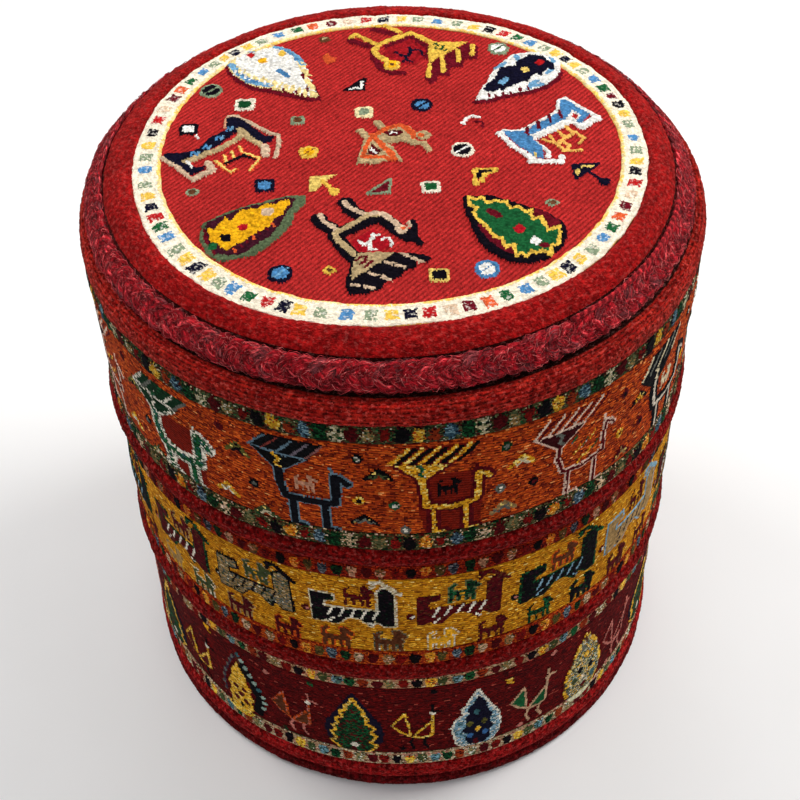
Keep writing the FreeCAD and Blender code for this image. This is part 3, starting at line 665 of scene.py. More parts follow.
def top_figures(c):
    U = 1.0 * PX

    def w(px, s):
        return px / s * PX

    # --- yellow bird, upper middle
    f, s = crop_to_plan(600, 150, 2.6), 2.6
    dk = T["maroon"]
    c.poly(f((655, 640), (622, 830), (660, 880), (700, 850), (706, 780), (780, 790), (800, 690), (868, 690), (890, 600), (975, 590), (990, 440), (925, 392)), dk, 0.9)
    c.line(f((300, 205), (370, 235), (440, 280)), w(58, s), dk, 0.9)
    c.line(f((140, 335), (200, 370), (275, 420)), w(58, s), dk, 0.9)
    c.line(f((385, 420), (540, 318), (650, 430), (630, 560)), w(44, s), dk, 0.9)
    c.line(f((292, 480), (300, 570), (345, 690), (400, 740), (480, 740)), w(52, s), dk, 0.9)
    c.poly(f((385, 440), (540, 330), (640, 450), (630, 560), (560, 640), (470, 640), (400, 590), (350, 500)), lin((160, 24, 32)), 0.5)
    y = T["yellow"]
    c.line(f((318, 168), (345, 140), (465, 245)), w(40, s), y, H_MAIN)
    c.line(f((140, 305), (172, 258), (300, 385)), w(36, s), y, H_MAIN)
    c.line(f((335, 395), (545, 262), (675, 385)), w(46, s), y, H_MAIN)
    c.line(f((330, 395), (298, 470), (315, 530), (390, 610)), w(46, s), y, H_MAIN)
    c.dot(*f((408, 655))[0], w(52, s), w(58, s), T["gold"], H_MAIN)
    c.line(f((385, 600), (372, 690), (415, 712), (452, 690), (455, 620)), w(20, s), y, H_MAIN)
    c.dot(*f((415, 652))[0], w(12, s), w(14, s), T["brown"], H_MAIN)
    c.poly(f((668, 378), (925, 385), (650, 645), (655, 470)), y, H_MAIN)
    for a, b in (((655, 655), (650, 800)), ((742, 570), (748, 742)), ((850, 492), (848, 622)), ((950, 430), (944, 552))):
        c.line(f(a, b), w(32, s), y, H_MAIN)
    c.line(f((690, 425), (708, 405), (722, 440), (700, 470), (742, 482)), w(13, s), T["dkgreen"])
    c.line(f((735, 430), (760, 440), (745, 480), (772, 502), (782, 485)), w(13, s), T["dkgreen"])
    c.line(f((440, 490), (478, 535), (520, 545), (540, 470), (528, 440)), w(22, s), T["navy"], 1.0)
    c.line(f((545, 480), (600, 470), (618, 532)), w(20, s), T["navy"], 1.0)
    c.line(f((512, 545), (505, 590), (480, 612)), w(24, s), T["navy"], 1.0)
    c.line(f((505, 590), (545, 615)), w(22, s), T["navy"], 1.0)

    # --- navy bird with a tan core, lower middle
    f, s = crop_to_plan(520, 880, 2.4), 2.4
    nv = T["black"]
    for pts, wd in (
        (((300, 160), (330, 225), (395, 285)), 92), (((155, 285), (185, 335), (262, 415)), 88),
        (((262, 420), (430, 305), (492, 292), (590, 415), (640, 455)), 92), (((245, 430), (290, 520), (345, 620)), 84),
        (((660, 330), (662, 450), (690, 508)), 40), (((620, 460), (655, 470)), 60),
    ):
        c.line(f(*pts), w(wd, s), nv, 1.1)
    c.poly(f((325, 590), (370, 570), (560, 575), (610, 578), (700, 590), (748, 628), (725, 662), (668, 660), (668, 695), (610, 722), (582, 768), (522, 800), (488, 850), (405, 895), (318, 892), (300, 800), (325, 690)), nv, 1.1)
    c.poly(f((445, 375), (560, 500), (455, 590), (360, 560), (335, 480)), T["crimson"], 0.7)
    t = T["tan"]
    c.line(f((296, 160), (312, 195), (398, 272)), w(31, s), T["beige"], H_MAIN)
    c.line(f((162, 260), (186, 320), (258, 395)), w(32, s), T["beige"], H_MAIN)
    c.line(f((262, 405), (350, 340), (425, 272), (480, 268)), w(34, s), t, H_MAIN)
    c.line(f((440, 262), (495, 262), (575, 360), (595, 400)), w(34, s), T["beige"], H_MAIN)
    c.dot(*f((598, 398))[0], w(36, s), w(36, s), T["beige"], H_MAIN)
    c.line(f((635, 335), (640, 375)), w(22, s), T["beige"], H_MAIN)
    c.dot(*f((604, 392))[0], w(14, s), w(18, s), T["orange"], H_MAIN)
    c.line(f((245, 425), (262, 470), (345, 592)), w(34, s), t, H_MAIN)
    c.poly(f((372, 575), (562, 578), (330, 800), (342, 660)), t, H_MAIN)
    for a, b in (((590, 585), (692, 660)), ((512, 655), (608, 700)), ((425, 738), (530, 795)), ((335, 825), (440, 855))):
        c.line(f(a, b), w(21, s), T["beige"], H_MAIN)
        m = ((a[0] + b[0]) / 2, (a[1] + b[1]) / 2)
        c.line(f((m[0] - 26, m[1] + 14), (m[0] + 20, m[1] - 16)), w(9, s), nv, H_MAIN)
    c.line(f((360, 640), (385, 612), (412, 610), (402, 650), (380, 665)), w(16, s), T["maroon"])
    c.line(f((410, 640), (445, 645), (420, 672), (405, 690)), w(16, s), T["maroon"])
    wt = T["white"]
    c.line(f((372, 485), (395, 510), (425, 500), (458, 430), (445, 425)), w(20, s), wt, 1.1)
    c.line(f((430, 500), (425, 545), (460, 550)), w(16, s), wt, 1.1)
    c.line(f((455, 430), (478, 432)), w(18, s), wt, 1.1)
    c.line(f((490, 470), (525, 462), (545, 500), (540, 525)), w(20, s), wt, 1.1)

    # --- navy animal with a tan edge, left
    f, s = crop_to_plan(180, 560, 2.8), 2.8
    c.line(f((100, 560), (195, 655), (322, 800)), w(34, s), T["beige"], H_MAIN)
    c.line(f((488, 150), (496, 230)), w(34, s), T["peach"], H_MAIN)
    c.line(f((500, 112), (560, 108), (680, 220), (790, 320), (848, 345), (862, 440), (840, 590)), w(34, s), T["beige"], H_MAIN)
    nv = T["navy"]
    c.poly(f((105, 548), (112, 512), (245, 505), (300, 560), (250, 605), (335, 672), (388, 655), (382, 700), (305, 750), (200, 640)), nv, H_MAIN)
    c.poly(f((245, 510), (330, 470), (400, 350), (500, 262), (560, 300), (470, 430), (300, 580)), nv, H_MAIN)
    c.poly(f((492, 150), (530, 112), (592, 150), (742, 322), (768, 352), (820, 352), (812, 420), (745, 442), (600, 278), (560, 312), (498, 262)), nv, H_MAIN)
    c.line(f((258, 612), (450, 492), (580, 372), (612, 300)), w(46, s), T["tan"], H_MAIN)
    c.line(f((590, 270), (640, 350), (742, 455), (770, 480)), w(42, s), T["tan"], H_MAIN)
    c.line(f((322, 790), (440, 705), (405, 625)), w(52, s), T["beige"], H_MAIN)
    c.line(f((770, 470), (775, 560)), w(56, s), T["beige"], H_MAIN)
    c.line(f((270, 610), (308, 682)), w(18, s), T["white"], H_MAIN)
    for x0, y0 in ((520, 262), (462, 360), (385, 458), (312, 528)):
        c.line(f((x0 - 22, y0 + 22), (x0 - 8, y0 - 26)), w(16, s), T["blue"], H_MAIN)
        c.line(f((x0 - 8, y0 - 22), (x0 + 12, y0 + 22)), w(16, s), T["blue"], H_MAIN)
        c.line(f((x0 + 12, y0 + 22), (x0 + 24, y0 - 14)), w(16, s), T["sky"], H_MAIN)
    g, o = T["lemon"], T["orange"]
    for pts in (((450, 602), (500, 665), (558, 735), (595, 700)), ((505, 545), (525, 640)), ((552, 508), (575, 585)), ((600, 452), (622, 530), (650, 545)), ((640, 530), (735, 588), (712, 662), (682, 716))):
        c.line(f(*pts), w(30, s), o, 1.0)
    for pts in (((450, 602), (500, 665), (558, 735), (595, 700)), ((505, 545), (525, 640)), ((552, 508), (575, 585)), ((600, 452), (622, 530), (650, 545)), ((640, 530), (735, 588), (712, 662), (682, 716))):
        c.line(f(*pts), w(16, s), g, 1.1)
    c.line(f((520, 640), (632, 552), (706, 602)), w(24, s), T["black"], 1.1)

    # --- blue animal with a white edge, right
    f, s = crop_to_plan(960, 520, 2.8), 2.8
    wt = T["white"]
    for pts, wd in (
        (((135, 505), (165, 485), (290, 490)), 34), (((130, 515), (210, 650), (305, 760), (345, 805), (400, 820)), 42),
        (((300, 540), (370, 620), (440, 710), (432, 772)), 34), (((310, 815), (420, 818), (512, 822), (522, 770)), 44),
        (((350, 555), (460, 480), (600, 385)), 66), (((600, 385), (612, 310), (645, 270)), 34),
        (((622, 372), (690, 440), (800, 350)), 62), (((550, 270), (562, 150), (608, 125), (700, 230), (800, 340)), 36),
        (((285, 472), (400, 390), (545, 262)), 30), (((640, 275), (690, 300), (672, 350)), 30),
    ):
        c.line(f(*pts), w(wd, s), wt, H_MAIN)
    b = T["blue"]
    c.poly(f((152, 500), (175, 490), (300, 500), (345, 560), (408, 700), (398, 785), (345, 775), (240, 640)), b, H_MAIN)
    c.poly(f((300, 492), (550, 282), (605, 320), (590, 360), (350, 530)), b, H_MAIN)
    c.poly(f((565, 152), (608, 140), (752, 312), (690, 402), (652, 402), (690, 322), (640, 262), (605, 330), (560, 290)), b, H_MAIN)
    for a, e in (((318, 450), (318, 528)), ((396, 388), (396, 468)), ((474, 322), (484, 405)), ((548, 262), (560, 350))):
        c.line(f(a, e), w(22, s), T["maroon"], H_MAIN)
    c.line(f((350, 735), (350, 765)), w(16, s), T["lemon"], H_MAIN)
    g = lin((250, 190, 96))
    for pts in (((418, 575), (500, 625), (545, 705), (650, 700)), ((505, 625), (570, 560), (640, 505), (688, 570), (650, 618)), ((470, 540), (495, 610)), ((528, 490), (560, 560)), ((585, 440), (622, 515)), ((548, 610), (585, 650), (560, 690))):
        c.line(f(*pts), w(26, s), g, 1.1)

    # --- white leaf, upper left
    f, s = crop_to_plan(300, 260, 2.8), 2.8
    edge = f((135, 150), (230, 118), (300, 160), (430, 88), (510, 112), (575, 180), (650, 310), (700, 440), (690, 505), (730, 610), (775, 775), (700, 775), (600, 720), (520, 690), (420, 640), (320, 608), (225, 520), (145, 405), (115, 260))
    low = [(x, y - 1.7) for x, y in edge[9:]]
    c.line(low, w(40, s), T["maroon"], 0.9)
    c.poly(edge, T["pale"], H_MAIN)
    c.line(f((140, 178), (225, 140), (290, 178)), w(44, s), T["sky"], H_MAIN)
    c.line(f((455, 120), (530, 158), (612, 258), (655, 350)), w(50, s), T["sky"], H_MAIN)
    c.line(f((470, 140), (560, 220), (610, 300)), w(24, s), T["blue"], H_MAIN)
    c.line(f((150, 330), (205, 440), (275, 530), (350, 580), (430, 606)), w(48, s), T["sky"], H_MAIN)
    c.line(f((190, 420), (275, 515), (340, 560)), w(30, s), T["blue"], H_MAIN)
    c.poly(f((165, 205), (290, 185), (420, 118), (520, 180), (580, 250), (610, 330), (655, 460), (668, 560), (715, 670), (660, 680), (600, 630), (520, 600), (440, 540), (340, 495), (260, 440), (190, 350)), T["white"], H_MAIN)
    # teeth of white and of ground bite into the pale edge
    for k in range(13):
        x0, y0 = 180 + 44 * k + rng.normal(0, 6), 395 + 27 * k + rng.normal(0, 6)
        c.line(f((x0, y0), (x0 - 8, y0 + 46)), w(17, s), T["white"], H_MAIN)
        c.line(f((x0 + 22, y0 - 10), (x0 + 26, y0 + 34)), w(13, s), T["pale"], H_MAIN)
    for k in range(8):
        x0, y0 = 340 + 52 * k + rng.normal(0, 6), 622 + 21 * k + rng.normal(0, 6)
        c.line(f((x0, y0 - 14), (x0 + 6, y0 + 26)), w(15, s), T["maroon"], 0.9)
    for k in range(6):
        x0, y0 = 640 + 14 * k, 330 + 70 * k
        c.line(f((x0, y0), (x0 + 44, y0 + 24)), w(14, s), T["white"] if k % 2 else T["pale"], H_MAIN)
    c.dot(*f((155, 158))[0], w(26, s), w(20, s), T["black"], H_MAIN)
    c.dot(*f((285, 215))[0], w(32, s), w(36, s), T["red"], H_MAIN, power=1.2)
    c.dot(*f((372, 290))[0], w(32, s), w(32, s), T["gold"], H_MAIN, power=3)
    c.dot(*f((502, 208))[0], w(26, s), w(38, s), T["yellow"], H_MAIN)
    c.line(f((492, 425), (552, 500)), w(46, s), T["blue"], H_MAIN)
    for x0, y0 in ((530, 660), (620, 690), (690, 640), (655, 470)):
        c.line(f((x0, y0), (x0 + 8, y0 + 60)), w(18, s), T["maroon"], 0.9)

    # --- navy leaf, upper right
    f, s = crop_to_plan(930, 330, 3.0), 3.0
    edge = f((392, 105), (520, 72), (650, 78), (735, 150), (755, 240), (742, 340), (705, 430), (610, 530), (500, 590), (330, 630), (180, 690), (82, 700), (130, 560), (190, 450), (225, 330), (300, 215))
    c.line([(x, y - 1.6) for x, y in edge[5:12]], w(46, s), T["maroon"], 0.9)
    c.poly(edge, T["white"], H_MAIN)
    for a, e in (((425, 130), (440, 190)), ((262, 290), (330, 230)), ((640, 380), (670, 330)), ((470, 560), (590, 520)), ((690, 170), (700, 230)), ((500, 520), (560, 470))):
        c.line(f(a, e), w(40, s), T["sky"], H_MAIN)
    c.poly(f((300, 272), (415, 262), (430, 190), (480, 170), (530, 112), (640, 140), (655, 200), (705, 240), (695, 330), (645, 318), (610, 360), (585, 425), (565, 372), (520, 410), (495, 480), (440, 490), (375, 520), (300, 590), (190, 605), (150, 572), (185, 490), (240, 430), (270, 350)), T["navy"], H_MAIN)
    c.dot(*f((597, 228))[0], w(34, s), w(42, s), T["red"], H_MAIN, power=1.3)
    c.dot(*f((480, 320))[0], w(36, s), w(42, s), T["lemon"], H_MAIN, power=1.5)
    c.line(f((290, 490), (330, 440)), w(48, s), T["sky"], H_MAIN)
    for x0, y0 in ((160, 620), (205, 640), (265, 615), (320, 600), (390, 560), (450, 540)):
        c.line(f((x0, y0 - 34), (x0 + 6, y0 + 24)), w(18, s), T["white"], H_MAIN)
        c.line(f((x0 + 26, y0 + 4), (x0 + 30, y0 + 42)), w(18, s), T["maroon"], 0.9)

    # --- yellow leaf, lower left
    f, s = crop_to_plan(300, 880, 3.2), 3.2
    edge = f((92, 395), (180, 330), (275, 268), (430, 198), (560, 165), (700, 112), (825, 120), (815, 215), (742, 320), (728, 430), (650, 570), (560, 685), (470, 765), (335, 795), (230, 815), (135, 715), (78, 570))
    c.poly(edge, T["sage"], H_MAIN)
    c.poly(f((120, 400), (280, 292), (440, 222), (560, 195), (690, 140), (745, 165), (725, 250), (680, 330), (640, 450), (585, 570), (480, 660), (400, 745), (300, 755), (210, 740), (150, 650), (112, 520)), T["plum"], H_MAIN)
    c.line(f((112, 470), (130, 600), (205, 735)), w(22, s), T["maroon"], H_MAIN)
    c.poly(f((132, 448), (180, 480), (248, 340), (290, 380), (345, 278), (440, 255), (470, 260), (520, 205), (600, 215), (640, 178), (700, 170), (708, 222), (680, 250), (668, 330), (590, 390), (570, 475), (500, 520), (440, 560), (395, 615), (340, 640), (290, 700), (240, 680), (215, 625), (160, 610)), T["gold"], H_MAIN)
    c.dot(*f((180, 650))[0], w(34, s), w(40, s), T["green"], H_MAIN)
    c.dot(*f((266, 572))[0], w(40, s), w(42, s), T["black"], H_MAIN, power=3)
    c.dot(*f((380, 460))[0], w(36, s), w(36, s), T["crimson"], H_MAIN, power=1.5)
    c.dot(*f((548, 300))[0], w(44, s), w(42, s), T["beige"], H_MAIN, power=3)
    for k in range(7):
        x0, y0 = 330 + 42 * k, 690 - 44 * k
        c.line(f((x0, y0), (x0 + 18, y0 + 34)), w(16, s), T["orange"] if k % 3 == 0 else T["maroon"], H_MAIN)

    # --- green leaf, lower right
    f, s = crop_to_plan(870, 900, 3.0), 3.0
    c.poly(f((122, 88), (205, 110), (280, 92), (400, 148), (540, 225), (660, 285), (765, 400), (788, 500), (745, 650), (640, 765), (500, 808), (375, 785), (245, 670), (180, 550), (150, 400), (115, 250)), T["black"], H_MAIN)
    c.poly(f((585, 250), (660, 300), (745, 400), (735, 440), (660, 480), (620, 350), (570, 350)), T["maroon"], H_MAIN)
    c.poly(f((190, 390), (240, 440), (300, 545), (360, 570), (420, 620), (415, 720), (330, 660), (250, 560)), T["maroon"], H_MAIN)
    zig = f((152, 120), (200, 152), (240, 122), (275, 185), (320, 165), (370, 180), (395, 178), (432, 250), (478, 232), (522, 290), (562, 272), (560, 375), (622, 352), (655, 485), (738, 452), (712, 620), (662, 640), (655, 735), (600, 685), (562, 715), (530, 690), (495, 745), (462, 700), (430, 742), (420, 622), (370, 642), (345, 560), (300, 540), (255, 440), (192, 345), (182, 290), (202, 240), (160, 215))
    c.poly(zig, T["green"], H_MAIN)
    c.line(zig + zig[:1], w(26, s), T["yellow"], H_MAIN)
    c.line(f((285, 275), (345, 325)), w(50, s), T["maroon"], H_MAIN)
    c.dot(*f((470, 465))[0], w(40, s), w(52, s), T["crimson"], H_MAIN, power=1.4)
    c.dot(*f((565, 590))[0], w(44, s), w(50, s), T["white"], H_MAIN, power=1.0)
    c.dot(*f((618, 640))[0], w(36, s), w(28, s), T["maroon"], H_MAIN)

    # --- small orange bird in the middle
    f, s = crop_to_plan(560, 480, 2.2), 2.2
    t = T["tan"]
    c.line(f((262, 440), (298, 492)), w(44, s), t, H_MAIN)
    c.line(f((350, 370), (382, 425)), w(44, s), t, H_MAIN)
    c.poly(f((238, 722), (262, 600), (285, 480), (335, 480), (430, 590), (485, 720), (430, 680), (350, 725)), t, H_MAIN)
    c.poly(f((330, 500), (400, 410), (470, 385), (520, 410), (560, 470), (545, 590), (480, 540), (420, 560)), t, H_MAIN)
    o = T["orange"]
    c.line(f((318, 500), (285, 600), (272, 675), (345, 668), (440, 690)), w(24, s), o, H_MAIN)
    c.line(f((320, 480), (370, 570), (425, 660)), w(34, s), o, H_MAIN)
    c.line(f((330, 490), (400, 425), (475, 402), (545, 478)), w(36, s), o, H_MAIN)
    c.line(f((500, 430), (540, 510)), w(30, s), o, H_MAIN)
    c.poly(f((318, 560), (375, 625), (345, 655), (292, 650)), T["deep"], 0.9)
    c.line(f((318, 600), (342, 632)), w(16, s), T["white"], 1.0)
    c.dot(*f((432, 468))[0], w(48, s), w(26, s), T["deep"], 0.9)
    c.line(f((418, 470), (430, 456), (445, 470)), w(10, s), T["white"], 1.0)
    c.dot(*f((590, 490))[0], w(40, s), w(40, s), t, H_MAIN)
    c.dot(*f((578, 498))[0], w(18, s), w(18, s), o, H_MAIN)
    c.line(f((545, 555), (590, 560), (612, 620)), w(34, s), t, H_MAIN)

    # --- small fillers
    def sq(x, y, r, outer, inner, k=0.55):
        p = plan(x, y)
        c.dot(p[0], p[1], r * PX, r * PX, outer, H_SMALL, power=6)
        c.dot(p[0], p[1], r * PX * k, r * PX * k, inner, H_SMALL, power=4)

    def rd(x, y, r, outer, inner, k=0.6, stripe=None):
        p = plan(x, y)
        c.dot(p[0], p[1], r * PX, r * PX * 1.05, outer, H_SMALL, power=2.4)
        c.dot(p[0], p[1], r * PX * k, r * PX * k, inner, H_SMALL, power=2.0)
        if stripe is not None:
            c.line([(p[0] - r * PX * 0.55, p[1] - r * PX * 0.45), (p[0] + r * PX * 0.55, p[1] + r * PX * 0.5)], 1.3, stripe, H_SMALL)

    rd(310, 487, 27, T["gg"], T["black"], 0.8, T["gg"])
    sq(397, 550, 25, T["cream"], T["dkgreen"], 0.62)
    sq(268, 647, 23, T["black"], T["white"], 0.6)
    p = plan(288, 672)
    c.line([p, (p[0] + 1.5, p[1] - 3.5)], 1.6, T["white"], H_SMALL)
    sq(528, 628, 17, T["gg"], T["brown"], 0.6)
    sq(688, 602, 22, lin((250, 228, 176)), T["gg"], 0.55)
    rd(828, 578, 27, T["navy"], T["blue"], 0.62, T["navy"])
    rd(1030, 332, 27, T["gg"], T["white"], 0.7, T["dkgreen"])
    rd(917, 762, 27, T["cream"], T["black"], 0.78, T["white"])
    rd(558, 755, 22, T["yellow"], T["gold"], 0.6, T["maroon"])
    sq(460, 875, 24, T["navy"], T["blue"], 0.62)
    sq(838, 898, 22, T["cream"], T["green"], 0.62)
    rd(507, 1178, 27, T["navy"], T["blue"], 0.66, T["sky"])
    sq(845, 1197, 22, T["lemon"], T["black"], 0.7)
    rd(948, 1180, 27, T["blue"], T["white"], 0.7, T["blue"])
    f = crop_to_plan(600, 150, 2.6)
    c.poly(f((85, 935), (190, 820), (225, 780), (245, 800), (235, 940)), T["black"], H_SMALL)
    c.line(f((215, 840), (208, 910), (140, 918)), w(22, 2.6), T["white"], H_SMALL)
    f = crop_to_plan(300, 260, 2.8)
    c.poly(f((790, 245), (830, 200), (845, 255), (890, 270), (880, 330), (830, 350), (800, 310)), T["orange"], H_SMALL)
    c.dot(*f((800, 22))[0], 3.6, 3.4, T["brown"], H_SMALL, power=3)
    c.dot(*f((800, 12))[0], 1.6, 1.4, T["tan"], H_SMALL)
    f = crop_to_plan(560, 480, 2.2)
    c.line(f((800, 390), (822, 345), (845, 325), (885, 335)), w(24, 2.2), T["white"], H_SMALL)
    c.poly(f((5, 808), (140, 800), (85, 850), (40, 925), (2, 925)), T["lemon"], H_SMALL)
    c.line(f((70, 850), (128, 925)), w(26, 2.2), T["yellow"], H_SMALL)
    c.dot(*f((132, 932))[0], w(28, 2.2), w(30, 2.2), T["yellow"], H_SMALL)
    tri = f((290, 958), (412, 848), (404, 962))
    c.poly(tri, T["maroon"], 0.6)
    c.line(tri + tri[:1], w(16, 2.2), T["gg"], H_SMALL)
    c.line(f((858, 372), (905, 380), (900, 430)), w(12, 2.2), T["maroon"], H_SMALL)
    c.line(f((838, 905), (838, 790), (945, 788), (878, 838), (868, 880)), w(30, 2.2), T["yellow"], H_SMALL)
    c.line(f((855, 850), (862, 808), (915, 805)), w(26, 2.2), T["black"], H_SMALL)
    # arrow at the right edge
    for x, y, sx in ((1195, 868, 1.0),):
        p = plan(x, y)
        c.poly([(p[0] - 8.2, p[1] + 12.4), (p[0] + 10.4, p[1] + 13.0), (p[0] + 3.4, p[1] + 4.6), (p[0] - 7.6, p[1] - 4.0)], T["navy"], H_SMALL)
        c.line([(p[0] + 1.5, p[1] + 5.0), (p[0] + 6.5, p[1] - 1.6), (p[0] + 10.2, p[1] - 5.6)], 2.8, T["navy"], H_SMALL)
        c.dot(p[0] + 10.2, p[1] - 5.8, 3.6, 3.8, T["navy"], H_SMALL)
        c.dot(p[0] - 4.8, p[1] + 4.0, 1.7, 2.9, T["lemon"], H_SMALL)
        c.line([(p[0] - 1.4, p[1] + 9.2), (p[0] + 4.8, p[1] + 9.6)], 2.2, T["lemon"], H_SMALL)
    for x, y in ((1107, 962), (297, 890)):
        p = plan(x, y)
        c.dot(p[0], p[1], 4.4, 3.8, T["gg"], H_SMALL, power=1.4)
        c.dot(p[0], p[1], 2.8, 2.4, T["brown"], H_SMALL, power=1.4)
    p = plan(612, 1172)
    c.dot(p[0], p[1], 4.2, 4.2, T["yellow"], H_SMALL, power=1.3)
    c.dot(p[0], p[1], 1.9, 1.9, T["brown"], H_SMALL, power=1.3)


def polar_disc_z(r):
    """Height of the lid's woven top, mm, falling away a little towards its edge."""
    return 438.4 - 1.3 * (r / 150.0) ** 2


def harmonics(a, k):
    v = k[0] + 0.0 * a
    for m in range(1, 5):
        v = v + k[2 * m - 1] * np.sin(m * a) + k[2 * m] * np.cos(m * a)
    return v


def ring_outer(a):
    """The cream ring is hand knotted: its edges run a little out of round. a is the bearing."""
    return harmonics(a, (160.3, 0.28, 0.9, -0.69, -0.23, -0.68, 0.16, -0.2, -1.09))


def ring_inner(a):
    return harmonics(a, (144.4, 0.86, -0.9, 0.15, -0.33, -0.75, 0.75, -0.04, -0.82))


def make_top_field():
    pitch = 0.84
    n = int(round(2 * 146.0 / pitch))
    half = n * pitch / 2.0
    c = Cloth(LID_X - half, -half, pitch, pitch, n, n, T["ground"], serrate=0.55)
    top_figures(c)
    c.yarn(0.10, 2, 0.05)
    on = c.pile > 0.5
    lump = smooth_noise(n, n, 2)
    bright = np.clip(c.col.mean(axis=2) / 0.75, 0, 1) ** 2
    c.col[on] = np.clip(c.col[on] * (1 + (1 - 0.8 * bright[on]) * (0.16 * lump[on] + rng.normal(0, 0.10, int(on.sum()))))[:, None], 0, 1)
    c.lift[on] += 0.42 * lump[on]
    off = ~on
    c.col[off] = np.clip(c.col[off] * (1 + 0.13 * lump[off] + rng.normal(0, 0.12, int(off.sum())))[:, None], 0, 1)
    x = LID_X - half + pitch * np.arange(n + 1)
    y = -half + pitch * np.arange(n + 1)
    X, Y = np.meshgrid(x, y)
    lift = corner_mean(c.lift)
    R = np.hypot(X - LID_X, Y)
    piled = corner_mean(c.pile)
    Z = polar_disc_z(R) - 0.6 + lift + rng.normal(0, 0.10, X.shape) * (0.5 + piled)
    Z += smooth_noise(n + 1, n + 1, 60) * 0.5
    jig = 0.12
    X = X + rng.normal(0, jig, X.shape)
    Y = Y + rng.normal(0, jig, Y.shape)
    keep = np.hypot(c.U - LID_X, c.Vv) < ring_inner(np.arctan2(c.U - LID_X, -c.Vv)) + 1.2
    quads = grid_quads(n, n)[keep.reshape(-1)]
    used = np.zeros((n + 1) * (n + 1), bool)
    used[quads.reshape(-1)] = True
    back = np.cumsum(used) - 1
    verts = np.stack([X, Y, Z], -1).reshape(-1, 3)[used]
    uv = np.stack([X, Y], -1).reshape(-1, 2)[used] * MM
    quads = back[quads]
    # rim of the disc: walls down to a flat underside
    e = np.concatenate([quads[:, [0, 1]], quads[:, [1, 2]], quads[:, [2, 3]], quads[:, [3, 0]]])
    key = np.sort(e, axis=1)
    _, idx, cnt = np.unique(key, axis=0, return_index=True, return_counts=True)
    rim = e[idx[cnt == 1]]
    nxt = dict(rim.tolist())
    start = int(rim[0, 0])
    loop = [start]
    while nxt[loop[-1]] != start:
        loop.append(nxt[loop[-1]])
    loop = np.array(loop)
    low = verts[loop].copy()
    low[:, 2] = 434.6
    base = len(verts)
    verts = np.concatenate([verts, low])
    uv = np.concatenate([uv, low[:, :2] * MM])
    m = len(loop)
    k = np.arange(m)
    walls = np.stack([loop, base + k, base + (k + 1) % m, np.roll(loop, -1)], -1)
    col = c.col.reshape(-1, 3)[keep.reshape(-1)]
    pile = c.pile.reshape(-1)[keep.reshape(-1)]
    col = np.concatenate([col, np.tile(T["ground"], (m, 1))])
    pile = np.concatenate([pile, np.zeros(m)])
    me = build_mesh("lid_top_field", verts * MM, np.concatenate([quads, walls]), col, pile, uv, extra_faces=[(base + k)[::-1]], extra_col=T["ground"])
    ob = add("lid_top_field", me, MAT_TOP, "lid", ("lid_top_panel",))
    return ob


RING_MARKS = (
    "-179.5 navy -175 red -170.2 beige -165.8 maroon -160.8 orange -156.5 green -151.2 blue -146.2 gg -142.2 yellow -138 navy -134.5 yellow "
    "-131 gg -126.8 blue -122 green -117.8 orange -114 maroon -109 beige -104.5 red -99.2 black -94 yellow -89.5 gg -84.5 blue -79 gg "
    "-74.5 yellow -70.5 navy -66.5 red -62.8 green -58.8 blue -53.8 gg -49.9 yellow -46.2 navy -42.5 yellow -39 gg -35.5 blue -31 green "
    "-26.8 red -23 navy -19.5 yellow -15 gg -9.5 blue -4.6 gg -0.2 yellow 3.7 navy 7.8 red 12.2 beige 16.2 maroon 20.5 orange 24.8 green "
    "29.2 blue 33.5 gg 37.3 yellow 41 navy 44.8 yellow 49 gg 53.5 blue 57.8 green 62 orange 66 maroon 70.5 beige 74.8 red 79.3 black "
    "82.9 yellow 87.2 gg 92 blue 97.5 gg 101.8 yellow 105.5 black 109.5 maroon 113.2 green 117.5 blue 121.8 gg 125.2 yellow 128.6 navy "
    "132 yellow 135.6 gg 139.9 blue 143.8 green 147.8 red 152 black 156.2 yellow 161 gg 166 blue 171.4 gg 175.8 yellow"
).split()


